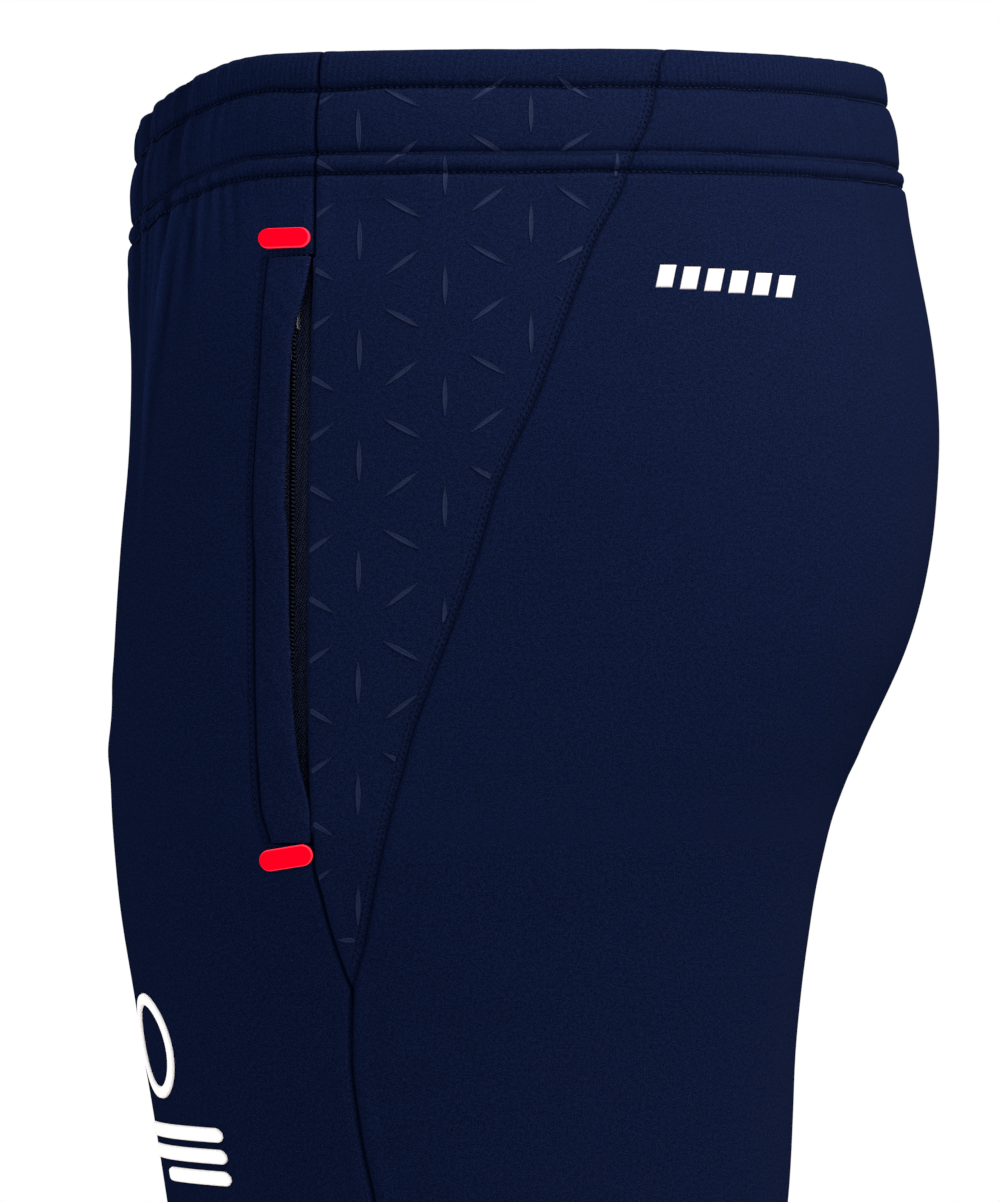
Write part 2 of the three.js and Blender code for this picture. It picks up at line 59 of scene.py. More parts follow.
SECTIONS = np.array([
    [8, 0.0, 147.0, 6, -112.0, 119.5, 2.25], [0, 0.0, 150.0, 6, -113.5, 121.0, 2.25],
    [-30, 4.0, 155.0, 7, -116.0, 126.0, 2.3], [-60, 15.0, 152.5, 8, -117.0, 131.5, 2.35],
    [-90, 29.0, 145.0, 9, -116.0, 136.2, 2.4], [-118, 43.0, 135.5, 10, -116.2, 137.2, 2.4],
    [-150, 58.0, 123.0, 8, -119.0, 134.0, 2.4], [-180, 71.0, 111.0, 4, -120.6, 126.0, 2.4],
    [-210, 82.0, 100.0, 0, -121.2, 112.0, 2.35], [-225, 87.5, 94.0, -3, -121.0, 105.0, 2.3],
    [-238, 91.0, 90.3, -6, -120.2, 101.0, 2.25], [-260, 91.3, 87.5, -8, -118.0, 96.4, 2.2],
    [-300, 89.8, 84.2, -8, -111.5, 91.8, 2.15], [-352, 88.2, 81.0, -7, -103.4, 88.8, 2.12],
    [-430, 88.2, 75.5, -7, -93.2, 79.5, 2.1], [-510, 89.8, 70.2, -8, -85.0, 68.5, 2.1],
    [-590, 91.8, 66.0, -8, -77.0, 61.2, 2.1], [-670, 93.8, 63.0, -4, -68.0, 60.6, 2.1],
    [-760, 96.0, 59.0, 3, -56.0, 62.2, 2.1], [-860, 98.2, 54.2, 11, -43.5, 65.0, 2.1],
    [-950, 99.5, 51.2, 17, -34.5, 68.0, 2.1], [-1020, 100.0, 49.6, 20, -29.8, 70.2, 2.1],
    [-1040, 100.0, 49.3, 20, -29.0, 70.8, 2.1]], float)
SIDE = [[-283.5, -44.4], [-304, -44.7], [-316, -43.5], [-331.5, -41.1], [-347, -37.8], [-400, -30],
        [-470, -22], [-590, -14], [-700, -4], [-800, 7], [-900, 15], [-1040, 20]]
SEAM_A = np.array([[8, -54], [0, -54.4], [-38, -56], [-60, -56.3], [-150, -56.2], [-244, -56],
                   [-254.3, -53.6], [-264.4, -51], [-272, -48.5], [-278.6, -46.1]] + SIDE, float)
SEAM_B = np.array([[8, 53], [0, 49.8], [-3, 48.4], [-12, 47], [-24, 43.7], [-30.6, 40.6], [-37, 38.2],
                   [-43.5, 36], [-56.7, 29], [-65.8, 25.4], [-77, 21.1], [-94, 14.9], [-106, 10.5],
                   [-129.6, 0], [-155.4, -7.9], [-174.7, -14.7], [-192.4, -21.4], [-204, -25.6],
                   [-219.4, -29.8], [-232, -33.2], [-248, -36.7], [-261.7, -39.2], [-272, -41.3]] + SIDE, float)
WELT_FRONT = np.array([[-60, -70.6], [-70, -71.6], [-84, -72.6], [-100, -73.2], [-115, -74], [-135, -75],
                       [-155, -74.4], [-175, -74.3], [-210, -73.4], [-228, -72.1], [-236, -69.8], [-240, -68.6]], float)
WELT_EDGE = np.array([[-60, -56.9], [-69, -58.6], [-76, -60.2], [-84, -62.6], [-92, -63.4], [-106, -64.1],
                      [-120, -64.6], [-134, -65.1], [-148, -64.1], [-170, -63.6], [-183, -63], [-203, -61.9],
                      [-216, -60.2], [-224, -58], [-230, -57], [-240, -56.8]], float)


def cubic(table, z, col):
    zt, v = table[:, 0], table[:, col]
    n = len(zt)
    z = np.clip(np.asarray(z, float), zt[-1], zt[0])
    lo, hi = np.maximum(np.arange(n) - 1, 0), np.minimum(np.arange(n) + 1, n - 1)
    m = (v[hi] - v[lo]) / (zt[hi] - zt[lo])
    i = np.clip(np.searchsorted(-zt, -z, side="left") - 1, 0, n - 2)
    h = zt[i + 1] - zt[i]
    t = (z - zt[i]) / h
    t2, t3 = t * t, t * t * t
    return ((2 * t3 - 3 * t2 + 1) * v[i] + (t3 - 2 * t2 + t) * h * m[i]
            + (-2 * t3 + 3 * t2) * v[i + 1] + (t3 - t2) * h * m[i + 1])


ZG = np.arange(10.0, -1041.0, -0.25)
SG = [cubic(SECTIONS, ZG, c) for c in range(1, 7)]
# a light smoothing keeps the widths free of small bumps where the table's steps change
ker = np.exp(-0.5 * (np.arange(-36, 37) / 14.0) ** 2)
ker /= ker.sum()
SG = [np.convolve(np.pad(g, 36, mode="edge"), ker, mode="valid") for g in SG]


def sec(z):
    return [np.interp(-np.asarray(z, float), -ZG, g) for g in SG]


def surf(a, z):
    a, z = np.broadcast_arrays(np.asarray(a, float), np.asarray(z, float))
    cx, ax, cy, yf, yb, n = sec(z)
    c, d = np.cos(a), np.sin(a)
    ay = np.where(d < 0, cy - yf, yb - cy)
    r = ((np.abs(c) / ax) ** n + (np.abs(d) / ay) ** n) ** (-1 / n)
    return np.stack([cx + r * c, cy + r * d, z + 0 * r], -1)


def unit(v):
    return v / np.maximum(np.linalg.norm(v, axis=-1, keepdims=True), 1e-12)


def normal(a, z):
    u = surf(a + 0.004, z) - surf(a - 0.004, z)
    v = surf(a, z + 0.8) - surf(a, z - 0.8)
    return unit(np.cross(u, v))


def bisect(f, lo, hi, n=44):
    lo, hi = np.array(lo, float), np.array(hi, float)
    for _ in range(n):
        m = (lo + hi) / 2
        neg = f(m) < 0
        lo, hi = np.where(neg, m, lo), np.where(neg, hi, m)
    return (lo + hi) / 2


def smooth(a, b, x):
    t = np.clip((np.asarray(x, float) - a) / (b - a), 0, 1)
    return t * t * (3 - 2 * t)


def angle_at_y(y, z):
    z = np.asarray(z, float)
    return bisect(lambda a: surf(a, z)[..., 1] - y, np.full(z.shape, -PI / 2), np.full(z.shape, PI / 2))


def angle_at_x(x, z):  # on the front
    z = np.asarray(z, float)
    return bisect(lambda a: surf(a, z)[..., 0] - x, np.full(z.shape, -PI), np.zeros(z.shape))


def _edges():
    cx, ax = SG[0], SG[1]
    lim = -PI + 0.02 / ax
    f = np.maximum(lim, bisect(lambda a: surf(a, ZG)[..., 0] - 0.02, np.full(ZG.shape, -PI), np.full(ZG.shape, -0.2)))
    f = np.where(cx - ax > 0.02, lim, f)
    b = -bisect(lambda a: surf(-a, ZG)[..., 0] - 0.02, np.full(ZG.shape, -PI), np.full(ZG.shape, -0.2))
    b = np.minimum(-lim, b)
    b = np.where(cx - ax > 0.02, -lim, b)
    return f, b


A_F, A_K = _edges()
A_A = angle_at_y(cubic(SEAM_A, ZG, 1), ZG)
A_B = angle_at_y(cubic(SEAM_B, ZG, 1), ZG)
in_mouth = (ZG < POCKET_TOP) & (ZG > POCKET_BOT)
BULGE = 1.9 * np.sin(PI * np.clip((POCKET_TOP - ZG) / (POCKET_TOP - POCKET_BOT), 0, 1)) ** 0.6 * in_mouth
A_GM = angle_at_y(cubic(SEAM_A, ZG, 1) - BULGE, ZG)                      # the gore's front edge
A_WF = angle_at_y(cubic(WELT_FRONT, ZG, 1), ZG)
A_WE = angle_at_y(np.minimum(cubic(WELT_EDGE, ZG, 1), cubic(SEAM_A, ZG, 1) - 0.15), ZG)
A_FE = np.where(in_mouth, A_WF, A_A)                                     # the front panel's rear edge


y_pw = cubic(WELT_FRONT, ZG, 1) - 1.6
y_leg = cubic(SEAM_A, ZG, 1) - 17.5
A_X = angle_at_y(np.where(ZG > POCKET_BOT, y_pw, y_pw + (y_leg - y_pw) * smooth(POCKET_BOT, -330, ZG)), ZG)


def ang(tab):
    return lambda z: np.interp(-np.asarray(z, float), -ZG, tab)


aF, aK, aA, aB, aGM, aWF, aWE, aFE, aX = map(ang, (A_F, A_K, A_A, A_B, A_GM, A_WF, A_WE, A_FE, A_X))


def top_edge(y):
    side_rise = 1.5 * smooth(-92, -70, y) * (1 - smooth(0, 70, y))
    return BACK_RISE * smooth(0, 60, y) - FRONT_DIP * np.clip((-y - 78) / 36, 0, 1) ** 2 + side_rise


def height_of(v, y):
    top = top_edge(y)
    return -v + top * (1 - smooth(45, 120, v))


def drop_of(y, z):  # v of a point at height z
    v = -np.asarray(z, float)
    for _ in range(6):
        top = top_edge(y)
        v = -z + top * (1 - smooth(45, 120, v))
    return v


# ------------------------------------------------------------------ smooth seeded noise
def hash1(i, seed):
    x = np.sin((np.asarray(i, float) + 1.0) * 12.9898 + seed * 78.233) * 43758.5453
    return (x - np.floor(x)) * 2 - 1


def noise1(x, seed):
    i = np.floor(x)
    f = x - i
    f = f * f * f * (f * (6 * f - 15) + 10)
    return hash1(i, seed) * (1 - f) + hash1(i + 1, seed) * f


def noise2(x, y, seed):
    i, j = np.floor(x), np.floor(y)
    fx, fy = x - i, y - j
    fx, fy = fx * fx * (3 - 2 * fx), fy * fy * (3 - 2 * fy)
    h = lambda a, b: hash1(a * 57.0 + b * 131.0, seed)
    return ((h(i, j) * (1 - fx) + h(i + 1, j) * fx) * (1 - fy) + (h(i, j + 1) * (1 - fx) + h(i + 1, j + 1) * fx) * fy)


def ease(y, z):
    """How far the cloth lies inside the pattern surface."""
    return -(0.45 + (1.05 * smooth(-58, -95, y) - 0.45) * smooth(-470, -390, z)) * smooth(-30, -75, y)


def shift(S_, N, off):
    """Off the surface along its normal, but never sideways at the centre seams, where left and right meet."""
    D = N * np.asarray(off)[..., None]
    D[..., 0] *= smooth(0.02, 9.0, np.abs(S_[..., 0]))
    D[..., 0] -= 0.02 * np.sign(S_[..., 0]) * (1 - smooth(0.02, 1.5, np.abs(S_[..., 0])))
    return S_ + D


def row_v(k, w):  # the stitched rows wander a little
    return ROWS[k] + 0.35 * noise1(w / 23.0, 3 + k) + 0.15 * noise1(w / 7.0, 8 + k)


def gauss(d, w):
    return np.exp(-(d / w) ** 2)


def chord(a, b, z):
    return np.linalg.norm(surf(a, z) - surf(b, z), axis=-1)


# soft folds: (side, q0, z0, q1, z1, height, width), q runs from the centre front to the centre back
FOLDS = []


def _make_folds():
    rng = np.random.default_rng(41)
    for side in (0, 1):
        for _ in range(7):      # drag lines from the crotch over the front of the thigh
            z0 = -232 + rng.uniform(-18, 10)
            FOLDS.append((side, 0.01, z0, rng.uniform(0.16, 0.26), z0 + rng.uniform(10, 46), rng.uniform(0.8, 1.8) * 0.38, rng.uniform(5, 8)))
        for _ in range(7):      # and under the seat
            z0 = -236 + rng.uniform(-26, 6)
            FOLDS.append((side, 0.99, z0, rng.uniform(0.72, 0.84), z0 + rng.uniform(-6, 34), rng.uniform(0.8, 1.9) * 0.45, rng.uniform(5, 8)))
        for _ in range(5):      # inner thigh
            z0 = rng.uniform(-330, -262)
            q = rng.choice([0.0, 1.0])
            FOLDS.append((side, q, z0, abs(q - rng.uniform(0.08, 0.17)), z0 - rng.uniform(10, 50), rng.uniform(0.6, 1.4), rng.uniform(5, 8)))
        for _ in range(9):      # behind the knee
            z0 = rng.uniform(-655, -545)
            q0, q1 = rng.uniform(0.60, 0.74), rng.uniform(0.84, 1.0)
            FOLDS.append((side, q0, z0 + rng.uniform(-14, 14), q1, z0, rng.uniform(0.9, 2.2), rng.uniform(5, 9)))
        for _ in range(4):      # over the knee
            z0 = rng.uniform(-640, -540)
            q0, q1 = rng.uniform(0.02, 0.12), rng.uniform(0.22, 0.34)
            FOLDS.append((side, q0, z0, q1, z0 + rng.uniform(-18, 18), rng.uniform(0.5, 1.2), rng.uniform(7, 12)))
        for _ in range(16):     # above the hem
            z0 = rng.uniform(-1000, -800)
            q0 = rng.uniform(0.0, 1.0)
            FOLDS.append((side, q0, z0, q0 + rng.uniform(0.14, 0.32), z0 + rng.uniform(-26, 26),
                          rng.uniform(0.8, 2.6) * (0.4 + 0.6 * (-z0 - 800) / 200), rng.uniform(4.5, 9)))


_make_folds()


def painted_sheen_patch(y, z):
    """A painted sheen: the colour is a little paler round the top of the pocket."""
    return 0.30 * np.exp(-((y + 66) / 22) ** 2 - ((z + 56) / 24) ** 2)


def disp(a, z, v, side):
    """How far the cloth stands off the pattern surface, and its painted shading: painted shade in seams, sewn rows and
    creases (0 to 1), less painted highlight on folds and round the top of the pocket.
    """
    P = surf(a, z)
    y = P[..., 1]
    q = (a - aF(z)) / (aK(z) - aF(z))
    w = q * 430.0
    sd = 100 * side
    fr = np.clip((-y - 66) / 44, 0, 1) * (P[..., 2] > -420)
    bk = np.clip((y - 50) / 65, 0, 1)
    d = np.zeros(a.shape)
    painted_shading, light = np.zeros(a.shape), np.zeros(a.shape)
    # waist casing: three sewn channels
    inband = v < 60
    r = [row_v(k, w + sd) for k in range(3)]
    edges = [0 * w + 0.4, r[0], r[1], r[2]]
    puff = np.zeros(a.shape)
    for k in range(3):
        t = np.clip((v - edges[k]) / (edges[k + 1] - edges[k]), 0, 1)
        amp = (1.05, 1.35, 0.85)[k]
        puff += amp * np.sin(PI * t) ** 0.75 * ((v > edges[k]) & (v <= edges[k + 1]))
    below = gauss(v - r[2] - 4.0, 5.0) * 0.35 * (v > r[2])
    d += (puff + below) * inband
    for k in range(3):
        g = gauss(v - r[k], 0.95)
        pitch = 0.5 + 0.5 * np.cos(2 * PI * w / 2.05 + 4 * noise1(w / 40.0, 5))
        d -= (0.85 + 0.30 * pitch) * g * inband
        # painted shade: the sewn rows' grooves are painted darker
        painted_shading = np.maximum(painted_shading, 0.95 * gauss(v - r[k], 0.7) * inband)
        # short puckers across each row
        near = gauss(v - r[k], 3.4) * inband
        d += near * 0.24 * noise1(w / 1.9 + 11.0 * k, 17 + k + side)
    # gathers
    amp = 0.13 + 1.05 * fr ** 0.7 + 0.30 * bk
    gath = (0.70 * noise1(w / 2.7 + noise1(v / 30.0, 71), 21 + side) + 0.70 * noise1(w / 4.6 + 0.6 * noise1(v / 26.0, 72), 22 + side)
            + 0.22 * noise1(w / 10.5, 23 + side))
    env = np.where(v < 39, 0.75 + 0.25 * np.cos(v / 3.0), np.exp(-(v - 39) / 20.0))
    relief = amp * gath * env * (v < 130) * (1 - 0.9 * gauss(chord(a, aF(z), z), 4.0) - 0.9 * gauss(chord(a, aK(z), z), 4.0))
    d += relief
    # painted highlight and shade: the gathers' ridges are painted lighter and their hollows darker
    light += 0.62 * np.clip(relief, -0.75, 1.2) * np.clip(2.2 * fr + 0.25 * bk, 0, 1)
    d = np.where(inband & (v < 45), np.maximum(d, -0.95), d)
    # longer folds that hang from the casing at the front, their crests painted lighter: painted highlight
    for qq, s_, h_, ln in ((0.055, 6.0, 1.5, 90), (0.125, 7.0, 1.5, 120)):
        lean = qq + 0.02 * smooth(40, 190, v) + 0.004 * side
        one = h_ * gauss((q - lean) * 430, s_) * smooth(24, 52, v) * (1 - smooth(48, 60 + ln, v))
        d += one
        light += 0.22 * one
    # folds down the front beside the pocket: crests painted lighter (painted highlight), with a strip of painted shade
    # just behind each
    for (y0, z0), (y1, z1), h_, s_, painted_highlight_gain in (((-100.5, -44), (-110.5, -112), 1.5, 3.4, 0.95), ((-106.0, -46), (-112.5, -150), 0.9, 3.0, 0.60),
                                             ((-95.6, -42), (-99.0, -66), 0.8, 1.9, 0.50), ((-91.6, -42), (-93.0, -64), 0.7, 1.7, 0.42),
                                             ((-87.6, -42), (-87.6, -60), 0.6, 1.7, 0.34), ((-83.4, -42), (-82.6, -56), 0.4, 1.6, 0.22)):
        t = np.clip((z0 - z) / (z0 - z1), 0, 1)
        run = smooth(z0 + 10, z0 - 3, z) * smooth(z1 - 10, z1 + 0.55 * (z0 - z1), z)
        on = (z < z0 + 12) & (z > z1 - 12) & (a < aA(z))
        if not on.any():
            continue
        zz = z[on]
        ar = angle_at_y((y0 + (y1 - y0) * t[on] ** 0.8), zz)
        off = np.sign(a[on] - ar) * chord(a[on], ar, zz)
        one = gauss(off, s_) * run[on]
        d[on] += h_ * one
        light[on] += painted_highlight_gain * one - 0.30 * gauss(off - 2.1 * s_, 0.9 * s_) * run[on]
    # seams, sunk and painted darker in their grooves: painted shade
    fa = np.where(z > GORE_END, 1.0, 0.0)
    dF, dK = chord(a, aF(z), z), chord(a, aK(z), z)
    dA, dB = chord(a, aA(z), z), chord(a, aB(z), z)
    mouth = (z < POCKET_TOP - 1) & (z > POCKET_BOT + 3)
    gA = np.where(mouth, 0, 1.0)
    for dist, depth, wd, painted_seam_shade, k in ((dF, 1.0, 1.0, 0.9, 1.0), (dK, 1.0, 1.0, 0.9, 1.0), (dA, 0.85, 0.6, 1.0, gA), (dB, 0.75, 0.7, 0.45, 1.0)):
        if dist is dA:
            k = k * (1 - 0.4 * smooth(-280, -300, z))
        d -= depth * gauss(dist, wd) * k
        d += 0.28 * gauss(dist - 3.2, 2.0) * k
        painted_shading = np.maximum(painted_shading, painted_seam_shade * gauss(dist, 0.5) * k)
    # coverstitch band stands in a shallow trough on the gore's side of the rear seam
    on_gore = (a < aB(z)) & (a > aA(z)) & (z > -276)
    d -= 0.30 * gauss(dB - 1.5, 1.1) * on_gore
    # topstitch beside the side seam on the legs
    front_of = (a < aA(z)) & (z < -286)
    d -= 0.25 * gauss(dA - 1.8, 0.7) * front_of
    # folds
    fold = np.zeros(a.shape)
    for (s_, q0, z0, q1, z1, h_, wd) in FOLDS:
        if s_ != side:
            continue
        lo, hi = min(z0, z1) - 3 * wd, max(z0, z1) + 3 * wd
        pick = (z > lo) & (z < hi)
        if not pick.any():
            continue
        qq = q[pick]
        circ = 2.9 * (aK(z[pick]) - aF(z[pick])) * 30
        for wrap in (0, -1, 1):
            if wrap and not (q1 > 1 or q0 < 0) or (wrap and z0 > -400):
                continue
            ax_, az_ = (q1 - q0) * 500, z1 - z0
            px, pz = (qq + (-wrap) - q0) * 500, z[pick] - z0
            t = (px * ax_ + pz * az_) / (ax_ * ax_ + az_ * az_)
            tc = np.clip(t, 0, 1)
            dist = np.hypot(px - tc * ax_, pz - tc * az_)
            one = h_ * gauss(dist, wd) * np.sin(PI * np.clip(tc, 0.0, 1.0)) ** 0.8
            fold[pick] = np.maximum(fold[pick], one) + 0.25 * np.minimum(fold[pick], one)
    near_crotch = np.exp(-((z + 218) / 34.0) ** 4) * (np.exp(-(q / 0.11) ** 4) + np.exp(-((1 - q) / 0.11) ** 4))
    d += fold * (1 - np.clip(near_crotch, 0, 1))
    d -= 0.5 * np.clip(near_crotch, 0, 1)
    # hem, with its fold line painted darker: painted shade
    d -= 0.45 * gauss(v - (HEM_Z - HEM_TURN + 2.5), 0.9)
    painted_shading = np.maximum(painted_shading, 0.7 * gauss(v - (HEM_Z - HEM_TURN + 2.5), 0.7))
    d += (v > HEM_Z - HEM_TURN + 2.5) * 0.5 * np.sin(PI * np.clip((v - (HEM_Z - HEM_TURN + 2.5)) / (HEM_TURN - 3), 0, 1)) ** 0.8
    d += (v > HEM_Z - 40) * 0.35 * noise1(w / 6.5, 61 + side) * gauss(v - HEM_Z + 12, 18.0)
    # very gentle unevenness everywhere
    d += 0.35 * noise2(w / 46.0, z / 60.0, 91 + side) + 0.12 * noise2(w / 17.0, z / 19.0, 92 + side)
    # the welt's sewn edge, and its second row just in front, sunk and painted darker: painted shade
    wz = smooth(POCKET_TOP + 0.6, POCKET_TOP - 0.2, z) * smooth(POCKET_BOT - 0.6, POCKET_BOT + 0.2, z)
    wy = y - np.interp(-z, -ZG, cubic(WELT_FRONT, ZG, 1))
    d -= 0.75 * gauss(wy, 0.6) * wz * (a < aA(z))
    painted_shading = np.maximum(painted_shading, 0.9 * gauss(wy, 0.5) * wz * (a < aA(z)))
    d -= 0.34 * gauss(wy + 1.45, 0.45) * wz
    painted_shading = np.maximum(painted_shading, 0.6 * gauss(wy + 1.45, 0.4) * wz)
    # sewn ends of the mouth, sunk and painted darker: painted shade
    for ez, tilt in ((POCKET_TOP + 0.1, 0.0), (POCKET_TOP + 1.3, 0.0), (POCKET_BOT - 0.5, 0.17), (POCKET_BOT - 1.9, 0.17)):
        line = z - (ez + tilt * (y + 64))
        on = (y > -71) & (y < -56.5)
        d -= 0.4 * gauss(line, 0.5) * on
        painted_shading = np.maximum(painted_shading, 0.55 * gauss(line, 0.45) * on)
    # folded edge of the gore at the mouth
    dM = y - (np.interp(-z, -ZG, cubic(SEAM_A, ZG, 1) - BULGE))
    d -= mouth * (np.abs(dM) < 6) * 0.9 * gauss(dM, 0.75) * smooth(0, 8, POCKET_TOP - z) * smooth(0, 10, z - POCKET_BOT)
    # painted highlight: a pale sheen patch round the top of the pocket
    light += painted_sheen_patch(y, z)
    return d, np.clip(painted_shading, 0, 1) - np.clip(light, -0.5, 1.1) * (1 - np.clip(painted_shading, 0, 1))


def place(a, z, side, h=0.0):
    """Points on the finished cloth, h above it, in millimetres, on the left (0) or the right (1)."""
    P = surf(a, z)
    v = drop_of(P[..., 1], z)
    d, _ = disp(a, z, v, side)
    N = normal(a, z)
    Q = shift(P, N, d + h + ease(P[..., 1], z))
    if side:
        Q = Q * np.array([-1, 1, 1])
        N = N * np.array([-1, 1, 1])
    return Q, N


def place_smooth(a, z, side):
    P, N = surf(a, z), normal(a, z)
    P = P + N * ease(P[..., 1], P[..., 2])[..., None]
    if side:
        P, N = P * np.array([-1, 1, 1]), N * np.array([-1, 1, 1])
    return P, N


# ------------------------------------------------------------------ meshes
MATS = {}


def make_mesh(name, verts, faces, mat, smooth_=True, uv=None, painted_shading=None, flip=False, rib=None):
    me = bpy.data.meshes.new(name)
    if flip:
        faces = [tuple(reversed(f)) for f in faces]
    me.from_pydata((np.asarray(verts, float) * 0.001).tolist(), [], faces)
    me.validate()
    me.update()
    if smooth_:
        me.polygons.foreach_set("use_smooth", np.ones(len(me.polygons), bool))
    if uv is not None:
        layer = me.uv_layers.new(name="cloth")
        idx = np.zeros(len(me.loops), int)
        me.loops.foreach_get("vertex_index", idx)
        layer.data.foreach_set("uv", np.asarray(uv, float)[idx].ravel())
    # vertex attribute of painted shade (positive) and painted highlight (negative) for the material
    if painted_shading is not None:
        at = me.attributes.new("painted_shading", "FLOAT", "POINT")
        at.data.foreach_set("value", np.asarray(painted_shading, float))
    if rib is not None:
        at = me.attributes.new("rib", "FLOAT", "POINT")
        at.data.foreach_set("value", np.asarray(rib, float))
    ob = bpy.data.objects.new(name, me)
    bpy.context.scene.collection.objects.link(ob)
    me.materials.append(MATS[mat])
    return ob


def shell_mesh(name, outer, inner, mat, side=0, step=4, wrap=False, uv=None, painted_shading=None, rib=None):
    """A thin closed sheet: a fine outer grid and a coarser inner one, joined round the rim."""
    K, J = outer.shape[:2]
    rows = sorted(set(list(range(0, K, step)) + [K - 1]))
    cols = sorted(set(list(range(0, J, step)) + ([] if wrap else [J - 1])))
    O = np.arange(K * J).reshape(K, J)
    I = K * J + np.arange(len(rows) * len(cols)).reshape(len(rows), len(cols))
    verts = np.concatenate([outer.reshape(-1, 3), inner[np.ix_(rows, cols)].reshape(-1, 3)])
    Oj = np.concatenate([O, O[:, :1]], 1) if wrap else O
    Ij = np.concatenate([I, I[:, :1]], 1) if wrap else I
    f = np.stack([Oj[:-1, :-1], Oj[:-1, 1:], Oj[1:, 1:], Oj[1:, :-1]], -1).reshape(-1, 4)
    g = np.stack([Ij[:-1, :-1], Ij[1:, :-1], Ij[1:, 1:], Ij[:-1, 1:]], -1).reshape(-1, 4)
    faces = [tuple(map(int, x)) for x in f] + [tuple(map(int, x)) for x in g]

    def rim(line, coarse, picks, rev):
        for n in range(len(picks) - 1):
            seg = [int(line[i]) for i in range(picks[n], picks[n + 1] + 1)]
            poly = seg + [int(coarse[n + 1]), int(coarse[n])]
            faces.append(tuple(reversed(poly)) if rev else tuple(poly))

    ccols = cols + [J] if wrap else cols
    rim(Oj[0], Ij[0], ccols, True)
    rim(Oj[-1], Ij[-1], ccols, False)
    if not wrap:
        rim(O[:, 0], I[:, 0], rows, False)
        rim(O[:, -1], I[:, -1], rows, True)
    # decide the way the faces look from the offset between the two grids
    mid = outer[K // 2, J // 2] - inner[K // 2, J // 2]
    e1 = outer[K // 2, min(J // 2 + 1, J - 1)] - outer[K // 2, J // 2 - 1]
    e2 = outer[min(K // 2 + 1, K - 1), J // 2] - outer[K // 2 - 1, J // 2]
    # the first face runs along e1 (columns) then e2 (rows)
    flip = np.dot(np.cross(e1, e2), mid) < 0
    if uv is not None:
        uv = np.concatenate([uv.reshape(-1, 2), uv[np.ix_(rows, cols)].reshape(-1, 2)])
    if painted_shading is not None:
        painted_shading = np.concatenate([painted_shading.ravel(), 0 * inner[np.ix_(rows, cols)][..., 0].ravel()])
    if rib is not None:
        rib = np.concatenate([rib.ravel(), 0 * inner[np.ix_(rows, cols)][..., 0].ravel()])
    return make_mesh(name, verts, faces, mat, uv=uv, painted_shading=painted_shading, flip=flip, rib=rib)


def arc_columns(lo, hi, v, left, right, n_mid):
    """Angles of one row's columns: fixed distances in from both edges, even between."""
    z = -v
    A = np.linspace(0, 1, 161)
    fine = float(lo(z)) + (float(hi(z)) - float(lo(z))) * A
    P = surf(fine, np.full(fine.shape, z))
    s = np.concatenate([[0], np.cumsum(np.linalg.norm(np.diff(P, axis=0), axis=1))])
    L = s[-1]
    k = min(1.0, L / (2.2 * max(left[-1] + right[-1], 1e-6)))
    l_, r_ = np.array(left) * k, L - np.array(right)[::-1] * k
    mid = np.linspace(l_[-1], r_[0], n_mid + 2)[1:-1]
    t = np.interp(np.concatenate([l_, mid, r_]), s, A)
    return t, L


def stations(rows_outer, hem):
    """(v, offset) of the cloth's outer and inner face, from the end of the waist's return down."""
    R, r = FOLD_R, FOLD_R - CLOTH
    st = [(v, -2 * R, v, -2 * R + CLOTH, 0.25) for v in np.arange(BAND, 2.2, -3.0)]
    for deg in np.linspace(180, 0, 11):
        c = math.radians(deg)
        st.append((R - R * math.sin(c), -R + R * math.cos(c), R - r * math.sin(c), -R + r * math.cos(c), 0.25 + 0.75 * (1 - deg / 180)))
    st += [(v, 0, v, -CLOTH, 1.0) for v in rows_outer]
    if hem:
        b = HEM_Z - R
        for deg in np.linspace(0, 180, 9):
            c = math.radians(deg)
            st.append((b + R * math.sin(c), -R + R * math.cos(c), b + r * math.sin(c), -R + r * math.cos(c), 1 - 0.75 * deg / 180))
        st += [(v, -2 * R, v, -2 * R + CLOTH, 0.25) for v in np.arange(b - 3, HEM_Z - HEM_TURN - 0.1, -5.0)]
    return st


